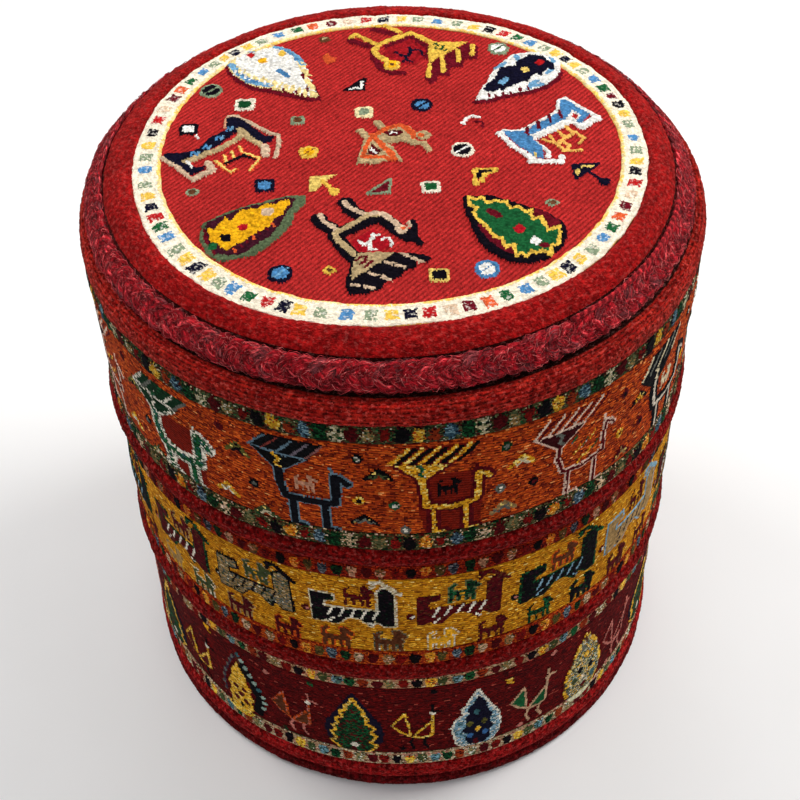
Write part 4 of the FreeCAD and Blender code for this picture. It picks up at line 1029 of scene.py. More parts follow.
def strip_solid(name, r_grid, z_grid, a_grid, r_in, z_in, cx, face_col, face_pile, uv_u, uv_v, mat, body, replaces=(), inner_col=None):
    """A closed strip round the axis: an outer grid of (r, z) by bearing, a plain inside of len(r_in) rows, and ends at the seam.
    r_grid, z_grid (rows, cols); rows run along the profile. r_in, z_in: inner profile from the last outer row back to the first."""
    rows, cols = r_grid.shape
    k = len(r_in)
    ri = np.repeat(np.asarray(r_in, float)[:, None], cols, 1)
    zi = np.repeat(np.asarray(z_in, float)[:, None], cols, 1)
    Rg = np.concatenate([r_grid, ri])
    Zg = np.concatenate([z_grid, zi])
    Ag = np.concatenate([a_grid, np.repeat(a_grid[-1:], k, 0)])
    X = cx + Rg * np.sin(Ag)
    Y = -Rg * np.cos(Ag)
    verts = np.stack([X, Y, Zg], -1).reshape(-1, 3)
    n_rows = rows + k
    j, i = np.meshgrid(np.arange(n_rows), np.arange(cols - 1), indexing="ij")
    j2 = (j + 1) % n_rows
    quads = np.stack([j * cols + i, j * cols + i + 1, j2 * cols + i + 1, j2 * cols + i], -1)
    quads = quads.reshape(-1, 4)
    nf_outer = (rows - 1) * (cols - 1)
    col = np.empty((len(quads), 3))
    col[:] = face_col.reshape(-1, 3)[0] if inner_col is None else inner_col
    col[:nf_outer] = face_col.reshape(-1, 3)
    pile = np.zeros(len(quads))
    pile[:nf_outer] = face_pile.reshape(-1)
    ends = [np.arange(n_rows) * cols, (np.arange(n_rows) * cols + cols - 1)[::-1]]
    uu = np.concatenate([uv_u, np.repeat(uv_u[-1:], k, 0)]).reshape(-1)
    vv = np.concatenate([uv_v, np.repeat(uv_v[-1:], k, 0)]).reshape(-1)
    me = build_mesh(name, verts * MM, quads, col, pile, np.stack([uu, vv], -1) * MM, extra_faces=ends, extra_col=col[-1])
    return add(name, me, mat, body, replaces)


def make_guard_ring():
    na, nr = 1190, 21
    r0, r1 = 143.2, 160.3
    dr = (r1 - r0) / nr
    circ = 2 * math.pi * 151.5
    c = Cloth(-circ / 2, r0, circ / na, dr, na, nr, T["ring"], serrate=0.35, wrap=circ)
    c.lift[:] = 1.3
    c.pile[:] = 1.0
    for a, name in zip(RING_MARKS[::2], RING_MARKS[1::2]):
        sm = float(a) / 360.0 * circ
        mid = 152.4 + rng.normal(0, 0.35)
        w, h = 3.6 + rng.normal(0, 0.2), 4.0 + rng.normal(0, 0.25)
        k = T[name]
        c.dot(sm, mid, w, h, k, 1.6, power=1.7 + 0.8 * rng.random())
        # corners of the little squares stick out
        for sx, sy in ((-1, -1), (1, -1), (-1, 1), (1, 1)):
            if rng.random() < 0.75:
                c.dot(sm + sx * w * rng.uniform(0.66, 0.9), mid + sy * h * rng.uniform(0.62, 0.88), 1.1, 1.2, k, 1.6)
        if name in ("gg", "beige"):
            for _ in range(7):
                c.dot(sm + rng.uniform(-w, w) * 0.8, mid + rng.uniform(-h, h) * 0.8, 0.6, 0.6, T["ring"], 1.6)
    # golden line along the inner edge, toothed
    tooth = 0.5 * smooth_noise(1, na, 2)[0] + rng.normal(0, 0.28, na)
    inner = c.Vv < (r0 + 2.1 + tooth[None, :])
    c.col[inner] = T["pale"]
    deep = inner & (smooth_noise(nr, na, 9) > 0.15)
    c.col[deep] = lin((250, 206, 104))
    c.lift[inner] = 1.25
    c.yarn(0.06, 2, 0.03)
    c.lift = c.lift + smooth_noise(nr, na, 2) * 0.28
    a = np.linspace(-math.pi, math.pi, na + 1)
    A = np.repeat(a[None, :], nr + 1, 0)
    wob_out = smooth_noise(1, na + 1, 9)[0] * 0.8 + smooth_noise(1, na + 1, 60)[0] * 0.9
    wob_in = smooth_noise(1, na + 1, 7)[0] * 0.5 + smooth_noise(1, na + 1, 70)[0] * 0.8
    wob_out[-1], wob_in[-1] = wob_out[0], wob_in[0]
    t = np.linspace(0, 1, nr + 1)[:, None]
    inner_r, outer_r = ring_inner(a) - 0.6, ring_outer(a)
    R = inner_r[None, :] * (1 - t) + outer_r[None, :] * t + wob_in[None, :] * (1 - t) + wob_out[None, :] * t
    lift = corner_mean(c.lift)
    edge = np.minimum(t * (r1 - r0), (1 - t) * (r1 - r0) + 0.5)
    lift = lift * np.clip(0.35 + edge / 1.6, 0, 1)
    Z = polar_disc_z(R) - 0.7 + lift + rng.normal(0, 0.10, R.shape)
    Uu = np.repeat((a * 151.5)[None, :], nr + 1, 0)
    # rows run outwards, so the outer grid faces up
    ob = strip_solid("lid_guard_ring", R, Z, A, (160.0, 144.0), (434.8, 434.8), LID_X, c.col, c.pile, Uu, R, MAT_RING, "lid", ("lid_top_panel",))
    return ob


make_top_field()
make_guard_ring()

# =====================================================================================
# the woven side
# =====================================================================================
R0 = 198.4
CIRC = 2 * math.pi * R0

# the same wool seen on the side, its colours darker than on the lid as painted shade; a little more silky and more
# mottled
S = {k: lin(v) for k, v in {
    "orange_field": (150, 50, 15), "gold_field": (178, 112, 16), "crimson_field": (82, 7, 8),
    "black": (6, 5, 9), "navy": (12, 12, 38), "white": (228, 220, 202), "cream": (204, 190, 156), "gold": (222, 158, 30),
    "yellow": (224, 172, 44), "lemon": (240, 210, 112), "green": (20, 84, 46), "dkgreen": (8, 44, 22), "gg": (96, 106, 72),
    "sage": (58, 68, 38), "teal": (52, 94, 100), "blue": (54, 98, 148), "sky": (124, 160, 178), "red": (148, 16, 18),
    "maroon": (80, 7, 14), "deep": (50, 4, 9), "tan": (156, 124, 78), "beige": (188, 150, 118), "orange": (196, 74, 20),
    "pink": (186, 112, 100), "brown": (86, 44, 22), "grey": (96, 98, 90), "plum": (36, 12, 26), "olive": (92, 88, 38),
}.items()}


def mottle(c, base, picks, run=1):
    """Mixes other yarns into one colour. picks: (colour, share)."""
    m = np.all(np.abs(c.col - base) < 1e-9, axis=2)
    # flecks are short dashes along the row, one to three stitches long
    fresh = rng.random(c.lift.shape)
    for _ in range(run):
        fresh = np.where(rng.random(c.lift.shape) < 0.45, np.roll(fresh, 1, axis=1), fresh)
    lo = 0.0
    out = c.col.copy()
    for color, share in picks:
        k = m & (fresh >= lo) & (fresh < lo + share)
        out[k] = color
        lo += share
    c.col[:] = out


def blend(c, times=1):
    """Lets the yarns of neighbouring tufts run into each other. The cloth is closed across."""
    for _ in range(times):
        v = (np.roll(c.col, 1, 1) + np.roll(c.col, -1, 1) + 2 * c.col) / 4
        c.col = (np.concatenate([v[:1], v[:-1]]) + np.concatenate([v[1:], v[-1:]]) + 2 * v) / 4


def side_cloth(z0, z1, ground, du=1.1, dv=1.05, serrate=0.35):
    nu = int(round(CIRC / du))
    nv = max(4, int(round((z1 - z0) / dv)))
    return Cloth(-CIRC / 2, z0, CIRC / nu, (z1 - z0) / nv, nu, nv, ground, serrate=serrate, wrap=CIRC)


wave_modes = [(m, rng.uniform(0, 2 * math.pi), rng.normal() / math.sqrt(m)) for m in range(1, 12)]
wave_modes2 = [(m, rng.uniform(0, 2 * math.pi), rng.normal() / math.sqrt(m)) for m in range(1, 12)]
dent_modes = [(int(rng.integers(2, 15)), rng.uniform(0, 6.28), rng.uniform(50, 190), rng.uniform(0, 6.28), rng.normal()) for _ in range(14)]


def smoothstep(x):
    x = np.clip(x, 0, 1)
    return x * x * (3 - 2 * x)


def z_warp(a, z):
    """The bands aren't quite level: how far a row lies off its height, mm."""
    w1 = sum(k * np.sin(m * a + p) for m, p, k in wave_modes)
    w2 = sum(k * np.sin(m * a + p) for m, p, k in wave_modes2)
    damp = smoothstep((z - 13.0) / 60.0) * smoothstep((402.0 - z) / 60.0)
    sag = 2.6 * smoothstep((z - 20.0) / 330.0) * (1 - np.cos(2 * a)) / 2 * smoothstep((410.0 - z) / 8.0)
    return 0.30 * damp * (w1 * np.cos(math.pi * z / 380.0) + w2 * np.sin(math.pi * z / 380.0)) - sag


def r_dent(a, z):
    """Slight unevenness of the padded wall, mm."""
    v = sum(k * np.sin(m * a + p) * np.sin(2 * math.pi * z / L + q) for m, p, L, q, k in dent_modes)
    return 0.16 * v * smoothstep((z - 5.0) / 40.0) * smoothstep((410.0 - z) / 30.0)


def side_strip(name, c, r_base, mat, rough_r=0.07, bulge=0.0, groove=0.7, inner=196.4):
    nu, nv = c.nu, c.nv
    a = np.linspace(-math.pi, math.pi, nu + 1)
    z = c.v0 + c.dv * np.arange(nv + 1)
    A, Z = np.meshgrid(a, z)
    lift = corner_mean(c.lift)
    t = np.linspace(-1, 1, nv + 1)[:, None]
    d = np.minimum(Z - z[0], z[-1] - Z)
    R = r_base + lift * np.clip(d / 0.8, 0.2, 1) + bulge * (1 - np.abs(t) ** 2.1) - groove * np.exp(-d / 0.7)
    noise = rng.normal(0, rough_r, R.shape)
    R = R + noise + r_dent(A, Z)
    Zw = Z + z_warp(A, Z)
    jig = rng.normal(0, 0.12, R.shape)
    jig[0] = jig[-1] = 0
    Aj = A + jig / R0
    Aj[:, 0], Aj[:, -1] = A[:, 0], A[:, -1]
    uu = A * R0
    return strip_solid(name, R, Zw + 0, Aj, (inner, inner), (z[-1], z[0]), 0.0, c.col, c.pile, uu, Z, mat, "drum", ("side_cover",))


# ---- guard stripes of beads ---------------------------------------------------------
def bead(c, s, z, w, h, color, taper, lift):
    j = lambda: rng.normal(0, 0.25)
    top, mid, low = w * 0.36, w * 0.52, w * (0.42 - 0.26 * taper)
    pts = [(s - top + j(), z + h / 2 + j()), (s + top + j(), z + h / 2 + j()), (s + mid + j(), z + h * 0.16), (s + low + j(), z - h / 2 + j()), (s - low + j(), z - h / 2 + j()), (s - mid + j(), z + h * 0.16)]
    c.poly(pts, color, lift)


def blob(c, s, z, w, h, color, ground, lift):
    """A rounded bead whose stitches and those of the ground cross at its edge."""
    c.dot(s, z, w * 0.5, h * 0.5, color, lift, power=2.1)
    for _ in range(6):
        t = rng.uniform(0, 2 * math.pi)
        c.dot(s + 0.48 * w * math.cos(t), z + 0.48 * h * math.sin(t), rng.uniform(0.7, 1.5), rng.uniform(0.8, 1.6), color, lift)
    for _ in range(5):
        t = rng.uniform(0, 2 * math.pi)
        c.dot(s + 0.50 * w * math.cos(t), z + 0.50 * h * math.sin(t), rng.uniform(0.6, 1.2), rng.uniform(0.7, 1.5), ground, None)


def guard(name, z0, z1, ground, flecks, order, a_black, height, taper, width=6.3, soft=False, dim=(1.0, 1.0, 1.0)):
    c = side_cloth(z0, z1, ground, du=0.95, dv=0.9)
    c.pile[:] = 0.35
    n = 135
    mid = (z0 + z1) / 2
    tone = {k: S[k] for k in set(order)}
    tone.update({k: v for k, v in (("blue", lin((52, 84, 104))), ("orange", lin((142, 48, 18))), ("red", lin((118, 16, 12))), ("gold", lin((196, 132, 26))), ("teal", lin((70, 104, 98)))) if k in tone})
    for i in range(n):
        a = a_black + 360.0 / n * i
        s = math.radians((a + 180) % 360 - 180) * R0 + rng.normal(0, 0.35)
        key = order[i % 9]
        if soft:
            grow = {"black": 1.12, "dkgreen": 1.15, "cream": 1.1, "tan": 0.85, "red": 0.8, "orange": 0.85}.get(key, 1.0)
            blob(c, s, mid + rng.normal(0, 0.4), 1.06 * width * grow + rng.normal(0, 0.4), 0.92 * height * grow + rng.normal(0, 0.5), tone[key], ground, 0.75)
        else:
            bead(c, s, mid + rng.normal(0, 0.25), 1.02 * width + rng.normal(0, 0.5), 0.94 * height + rng.normal(0, 0.5), tone[key], taper, 0.75)
        if soft and key in ("cream", "white") :
            for t in (45, 135, 225, 315):
                c.dot(s + 3.2 * math.cos(math.radians(t)), mid + 4.4 * math.sin(math.radians(t)), 1.2, 1.5, S["dkgreen"], 0.6)
    if name.endswith("6"):
        for a, key in ((-38.4, "yellow"), (41.0, "cream"), (143.4, "cream"), (92.2, "yellow")):
            c.dot(math.radians(a) * R0, z1 + 1.0, 12.5, 7.4, S[key], 0.75)
    mottle(c, ground, flecks)
    for key in sorted(tone):
        if key in ("black", "navy"):
            mottle(c, tone[key], [(S["plum"], 0.12)])
        elif key in ("cream", "tan"):
            mottle(c, tone[key], [(S["gg"], 0.26), (S["white"], 0.14), (S["sage"], 0.12)])
        elif key in ("yellow", "gold"):
            mottle(c, tone[key], [(S["lemon"], 0.16), (S["orange"], 0.16), (S["brown"], 0.1)])
        elif key in ("blue", "teal"):
            mottle(c, tone[key], [(S["sky"], 0.26), (S["navy"], 0.20)])
        elif key in ("green", "dkgreen"):
            mottle(c, tone[key], [(S["green"], 0.22), (S["black"], 0.22)])
        elif key in ("gg", "olive", "sage"):
            mottle(c, tone[key], [(S["tan"], 0.14), (S["sage"], 0.3)])
        elif key in ("red", "orange", "maroon"):
            mottle(c, tone[key], [(S["deep"], 0.2)])
    c.col = c.col * np.array(dim)
    c.yarn(0.17, 2, 0.06)
    ob = side_strip(name, c, 198.1, MAT_SIDE, rough_r=0.09, groove=0.55, inner=197.0)
    return ob


GREY_GROUND = lin((70, 66, 40))
SAND = lin((166, 130, 98))
REDDISH = lin((134, 40, 16))
flecks_grey = [(S["cream"], 0.12), (S["dkgreen"], 0.30), (S["gg"], 0.16), (S["maroon"], 0.10)]
flecks_dark = [(S["cream"], 0.07), (S["dkgreen"], 0.30), (S["gg"], 0.10), (S["maroon"], 0.20)]
flecks_red = [(lin((182, 74, 26)), 0.16), (S["maroon"], 0.26)]
flecks_gold = [(lin((190, 96, 28)), 0.34), (S["maroon"], 0.12)]
flecks_sand = [(S["cream"], 0.14), (S["brown"], 0.10), (S["pink"], 0.10), (S["maroon"], 0.07), (S["sage"], 0.08)]

# guard 1 lies under the rim: its colours are dimmed, partly painted shade from the rim above
guard("side_guard_1", 382.8, 398.2, GREY_GROUND, flecks_dark, "black yellow orange blue dkgreen cream maroon tan red".split(), 0.49, 13.4, 0.25, 7.4, True, (0.74, 0.72, 0.66))
guard("side_guard_2", 286.6, 302.6, GREY_GROUND, flecks_grey, "black gold red blue dkgreen cream maroon gg red".split(), 1.46, 12.4, 0.5, 7.2, True, (0.98, 0.78, 0.72))
guard("side_guard_3", 256.8, 271.0, REDDISH, flecks_red, "black yellow olive blue dkgreen cream maroon tan red".split(), 1.47, 10.6, 0.75, 6.6, False, (0.70, 0.36, 0.30))
guard("side_guard_4", 161.6, 177.6, REDDISH, flecks_gold, "black yellow olive blue dkgreen cream maroon tan red".split(), 1.96, 11.6, 0.7, 7.0, False, (0.92, 0.66, 0.58))
guard("side_guard_5", 131.2, 143.2, SAND, flecks_sand, "black yellow sage teal green orange maroon tan red".split(), 2.2, 10.4, 0.6, 7.8, False, (1.0, 0.92, 0.84))
guard("side_guard_6", 28.6, 44.8, SAND, flecks_sand, "black yellow sage teal dkgreen orange tan maroon red".split(), -2.15, 11.6, 0.55, 7.6, False, (1.14, 1.26, 1.28))


# ---- the three fields ----------------------------------------------------------------
def place(cx, kx, z_top, cy_top, kz, a_deg, grow=1.0):
    s0 = math.radians(a_deg) * R0

    def f(*pts):
        return [(s0 + (x - cx) * kx * grow, z_top - (y - cy_top) * kz) for x, y in pts]
    return f


UP = 0.9


BIRD_Y = (115.0, 150.0, 250.0, 330.0, 372.0, 550.0, 705.0)
BIRD_Z = (382.8, 379.4, 365.6, 355.4, 350.2, 327.8, 303.4)


def bird_place(a, grow=1.0, drop=0.0):
    s0 = math.radians(a) * R0

    def f(*pts):
        return [(s0 + (x - 455) * 0.1132 * grow, float(np.interp(y, BIRD_Y, BIRD_Z)) - drop) for x, y in pts]
    return f


def band_bird(c, a, style, k, grow=1.0, drop=0.0):
    inner, outer, fill, mark, w1, w2, beast, fan_ground, tones, stroke, between = style
    v = lambda s=5.0: float(rng.normal(0, s))
    f = bird_place(a, grow + rng.normal(0, 0.008), drop)
    w = 0.12
    stem = f((350, 350), (350 + v(), 440), (375, 540))
    body = f((375, 543), (500, 558 + v()), (640, 540))
    neck = f((640, 540), (642 + v(), 420), (643, 352))
    beak = f((645, 346), (676, 362), (706, 394))
    crest = f((638, 350), (630 + v(), 296))
    leg1 = f((410, 560), (414, 700), (462 + v(), 702))
    leg2 = f((582, 560), (586, 705), (632 + v(), 705))
    tri = f((212, 250), (492, 262), (350, 372))
    fan = f((190, 250), (275, 150), (595, 150), (515, 262))
    if fan_ground is not None:
        c.poly(fan, fan_ground, 0.5)
    for p in (stem, body, neck, beak, leg1, leg2):
        c.line(p, w2 * w, outer, 0.55)
    c.line(crest, 2.3, outer, 0.55)
    c.line(tri + tri[:1], (w2 - w1) * 0.62 * w + 1.6, outer, 0.55)
    c.poly(tri, fill, UP)
    for p in (stem, body, neck):
        c.line(p, w1 * w, inner, UP)
    c.line(beak, w1 * 0.8 * w, inner, UP)
    for p in (leg1, leg2):
        c.line(p, w1 * 0.78 * w, inner, UP)
    # slanting strokes of the tail, one by one
    for i in range(5):
        x = 192 + 79 * i
        if between is not None:
            c.line(f((x + 34, 244), (x + 124, 162)), stroke * 1.15 * w, between, 0.6)
        c.line(f((x + v(4), 246), (x + 92 + v(4), 158)), stroke * w, tones[i % len(tones)], UP)
    c.line(f((332, 262), (362, 285), (338, 318), (366, 340)), 17 * w, mark, UP)
    if beast is not None:
        small_beast(c, a + 1.0, 336.4 - drop, 14.6, beast, flip=-1 if k % 2 else 1)


def filler(c, x, z, kind, c1, c2, h=0.7):
    if kind == "dot":
        c.dot(x, z, 3.5, 4.2, c1, h, power=1.6)
        c.dot(x, z, 1.5, 1.9, c2, h)
    elif kind == "chev":
        c.line([(x - 7.2, z - 3.6), (x, z + 3.8), (x + 7.4, z - 3.8)], 3.4, c1, h)
        c.line([(x - 3.0, z - 3.6), (x + 0.4, z + 0.6), (x + 3.6, z - 3.6)], 2.0, c2, h)
        for q in range(5):
            t = rng.uniform(-1, 1)
            c.dot(x + 6.4 * t, z + 3.6 - 6.6 * abs(t), 0.9, 0.8, S["lemon"] if q % 2 else c2, h)
    elif kind == "spot":
        c.dot(x, z, 2.6, 3.0, c1, h, power=1.4)
    elif kind == "ess":
        c.line([(x - 2.4, z + 3.0), (x + 1.8, z + 3.2), (x - 1.2, z), (x + 2.4, z - 3.4)], 2.2, c1, h)


def make_orange():
    c = side_cloth(302.6, 382.8, S["orange_field"])
    seen = [(-43.9, 3, 1.10, 3.0), (-17.2, 4, 1.03, 0.0), (7.0, 0, 1.0, 0.0), (31.9, 1, 1.05, 1.0), (56.3, 2, 1.05, 3.0)]
    rest = [(56.3 + 23.6 * i, {9: 0, 10: 1}.get(i, (2 + i) % 5), 1.0, 0.0) for i in range(1, 11)]
    rust = lin((112, 22, 9))
    gold = (S["gold"], S["maroon"], S["gold"], S["green"], 32, 70, S["black"], rust, (S["gold"],), 22, S["black"])
    wine = (S["maroon"], lin((212, 178, 158)), S["deep"], S["grey"], 20, 38, None, None, (lin((222, 194, 172)),), 14, S["maroon"])
    black = (lin((196, 184, 166)), S["black"], S["black"], S["cream"], 22, 84, S["cream"], S["black"], (S["cream"], S["grey"]), 18, None)
    green = (S["green"], S["white"], S["dkgreen"], S["white"], 46, 92, None, S["dkgreen"], (S["white"], S["grey"], S["green"]), 20, None)
    navy = (lin((12, 13, 20)), lin((96, 120, 134)), lin((9, 10, 12)), S["gold"], 44, 58, lin((186, 132, 104)), lin((10, 11, 14)), (lin((86, 110, 124)), lin((120, 50, 44)), lin((92, 116, 130)), lin((110, 100, 110)), lin((130, 84, 80))), 12, None)
    styles = [gold, wine, black, green, navy]
    for a, k, grow, drop in seen + rest:
        s = styles[k]
        # the ground between legs and neck is darker beside the light outlines
        f = bird_place(a, grow, drop)
        if k in (0, 3):
            c.poly(f((330, 330), (620, 330), (670, 560), (655, 720), (370, 720), (330, 560)), rust, 0.1, pile=0.0)
        elif k == 1:
            for q in range(7):
                x, y = 420 + 24 * q, 340 + 26 * ((q * 3) % 7)
                c.line(f((x, y + 40), (x + 34, y)), 1.5, S["gold"] if q % 3 else S["green"], 0.5)
        band_bird(c, a, s, k, grow, drop)
    # small figures in the gaps: bearing from the middle of the gap, height, kind, tones
    shown = {
        -30.4: [(-1.2, 371.5, "dot", "maroon", "deep"), (1.8, 357.5, "chev", "olive", "black"), (4.6, 331.5, "dot", "black", "grey"), (-1.2, 316.5, "chev", "gold", "white"), (6.3, 307.5, "chev", "sage", "cream")],
        -5.0: [(-2.0, 371.0, "dot", "black", "white"), (1.5, 356.5, "chev", "black", "sage"), (-2.0, 333.5, "dot", "gold", "black"), (4.0, 330.5, "dot", "green", "white"), (-1.3, 315.5, "chev", "black", "grey"), (5.7, 307.5, "dot", "grey", "white")],
        19.5: [(-1.6, 369.5, "dot", "dkgreen", "grey"), (1.4, 352.8, "chev", "gold", "cream"), (-2.2, 332.0, "dot", "grey", "white"), (4.0, 329.5, "dot", "black", "maroon"), (-1.6, 314.8, "chev", "tan", "grey")],
        44.0: [(-1.5, 366.0, "dot", "maroon", "black"), (3.6, 349.5, "chev", "black", "gold"), (-1.5, 330.0, "dot", "gold", "maroon"), (5.0, 325.5, "dot", "maroon", "black"), (-0.4, 311.5, "chev", "maroon", "tan")],
    }
    all_a = sorted((x[0] + 180) % 360 - 180 for x in seen + rest)
    sets = list(shown.values())
    for i, a in enumerate(all_a):
        mid = a + 0.5 * ((all_a[(i + 1) % len(all_a)] - a) % 360)
        mid = (mid + 180) % 360 - 180
        key = min(shown, key=lambda q: abs(q - mid))
        marks = shown[key] if abs(key - mid) < 3 else sets[i % 4]
        mid = key if abs(key - mid) < 3 else mid
        for dx, z, kd, k1, k2 in marks:
            filler(c, math.radians(mid + dx) * R0 + rng.normal(0, 0.3), z + rng.normal(0, 0.3), kd, S[k1], S[k2])
    mottle(c, S["orange_field"], [(lin((206, 92, 30)), 0.13), (lin((92, 20, 8)), 0.24), (lin((176, 66, 16)), 0.2), (lin((228, 150, 84)), 0.014)], 3)
    mottle(c, S["gold"], [(S["lemon"], 0.2), (lin((140, 82, 12)), 0.2)])
    mottle(c, S["green"], [(S["teal"], 0.12), (S["dkgreen"], 0.24), (S["white"], 0.08)])
    mottle(c, S["white"], [(S["grey"], 0.16), (S["sage"], 0.12), (S["green"], 0.06)])
    c.yarn(0.15, 2, 0.07)
    ob = side_strip("side_field_orange", c, 197.9, MAT_SIDE)


GOAT = [(0, 332), (125, 330), (132, 374), (72, 388), (68, 432), (382, 432), (382, 292), (405, 268), (440, 262), (470, 300), (474, 556), (420, 560), (360, 512), (340, 562), (280, 504), (205, 494), (140, 562), (92, 560), (80, 540), (48, 560), (0, 558)]


def goat(c, a, body, edge, marks, crest, grow=1.0):
    f = place(262, 0.1132, 259.5, 185, 0.1412, a, grow + rng.normal(0, 0.01))
    w = 0.12
    p = f(*GOAT)
    if edge is not None:
        c.line(p + p[:1], 3.2, edge, 0.7)
    c.poly(p, body, UP)
    c.line(f((345, 225), (400, 222), (450, 262), (508, 310)), 30 * w, crest, UP)
    c.line(f((345, 258), (372, 225)), 26 * w, crest, UP)
    for i, x in enumerate((82, 147, 212, 277, 342)):
        c.line(f((x + 8, 498), (x + 26, 462), (x + 38, 436)), 14 * w, marks, UP)
    for x, y in ((100, 540), (330, 530), (120, 520), (350, 545)):
        c.dot(*f((x, y))[0], 1.3, 1.3, marks, UP)


def small_beast(c, a, z_feet, h, body, edge=None, flip=1, spots=None):
    """A small four-legged animal, h mm high."""
    s0 = math.radians((a + 180) % 360 - 180) * R0
    k = h / 175.0

    def f(*pts):
        return [(s0 + flip * x * k * 0.92, z_feet + (775 - y) * k) for x, y in pts]
    parts = [(f((-60, 692), (0, 700), (60, 692)), 40), (f((52, 692), (44, 615)), 36), (f((36, 612), (60, 622), (88, 655)), 26), (f((-62, 690), (-70, 640), (-44, 622)), 20),
             (f((-62, 700), (-67, 772)), 20), (f((-22, 705), (-18, 764)), 18), (f((25, 705), (30, 766)), 18), (f((62, 700), (67, 772)), 20)]
    if edge is not None:
        for p, w in parts:
            c.line(p, w * k + 1.5, edge, 0.6)
    for p, w in parts:
        c.line(p, w * k, body, 0.8)
    if spots is not None:
        c.dot(*f((0, 700))[0], 1.5, 1.4, spots, 0.8)


def make_gold():
    c = side_cloth(177.6, 256.8, S["gold_field"])
    seen = [(-47.6, "maroon", "dkgreen", "white", "dkgreen"), (-28.5, "grey", "black", "black", "black"), (-8.6, "black", "cream", "white", "cream"), (11.4, "maroon", None, "white", "maroon"), (32.2, "black", "dkgreen", "sky", "dkgreen"), (52.8, "tan", "sky", "navy", "sky")]
    cyc = [("maroon", "dkgreen", "white", "dkgreen"), ("black", "cream", "white", "cream"), ("black", "dkgreen", "sky", "dkgreen"), ("grey", "black", "black", "black"), ("maroon", None, "white", "maroon"), ("navy", "sky", "sky", "sky")]
    goats = list(seen)
    for i in range(1, 13):
        goats.append((52.8 + 19.97 * i,) + cyc[2 if i == 12 else (i - 1) % 6])
    top = [("maroon", None), ("dkgreen", "gg"), ("brown", "orange"), ("maroon", None), ("maroon", "tan"), ("sage", "grey")]
    for i, (a, body, edge, marks, crest) in enumerate(goats):
        goat(c, a, S[body], None if edge is None else S[edge], S[marks], S[crest], {3: 1.05, 4: 1.12, 5: 1.08}.get(i, 1.0))
        b, e = top[(i + 4) % 6]
        small_beast(c, a + (-0.6 if i in (3, 4) else 0.1), 228.8, 21.0, S[b], None if e is None else S[e], spots=S["gold"] if i % 2 else None)
        s = math.radians((a + 9.9 + 180) % 360 - 180) * R0
        c.dot(s, 216.4, 3.2, 3.8, S["maroon"] if i % 3 else S["black"], 0.6, power=1.6)
        c.dot(s + 1.0, 216.4, 1.3, 1.5, S["pink"] if i % 2 else S["white"], 0.6)
    low = [("maroon", None), ("dkgreen", "gg"), ("sage", "dkgreen"), ("maroon", "tan"), ("maroon", "orange"), ("brown", "orange"), ("brown", "grey"), ("gold", "cream"), ("maroon", None), ("dkgreen", None), ("black", "dkgreen"), ("maroon", "brown")]
    a_low = -12.9
    for i in range(36):
        b, e = {32: ("tan", "gold"), 33: ("sage", "cream")}.get(i, low[(i + 5) % 12])
        small_beast(c, a_low + 10.0 * i + rng.normal(0, 0.25), 178.8 + rng.uniform(0, 0.8), 22.0 + rng.normal(0, 0.8), S[b], None if e is None else S[e])
    mottle(c, S["gold_field"], [(lin((226, 170, 50)), 0.12), (lin((126, 70, 8)), 0.16), (lin((200, 136, 20)), 0.22), (lin((250, 222, 130)), 0.012)], 3)
    mottle(c, S["grey"], [(S["tan"], 0.4), (S["sage"], 0.2), (S["cream"], 0.06)])
    mottle(c, S["cream"], [(S["tan"], 0.25), (S["white"], 0.2)])
    mottle(c, S["dkgreen"], [(S["green"], 0.25), (S["black"], 0.25)])
    mottle(c, S["black"], [(S["plum"], 0.1), (S["dkgreen"], 0.06)])
    mottle(c, S["maroon"], [(S["deep"], 0.22), (S["brown"], 0.08)])
    c.yarn(0.14, 2, 0.07)
    ob = side_strip("side_field_gold", c, 197.9, MAT_SIDE)


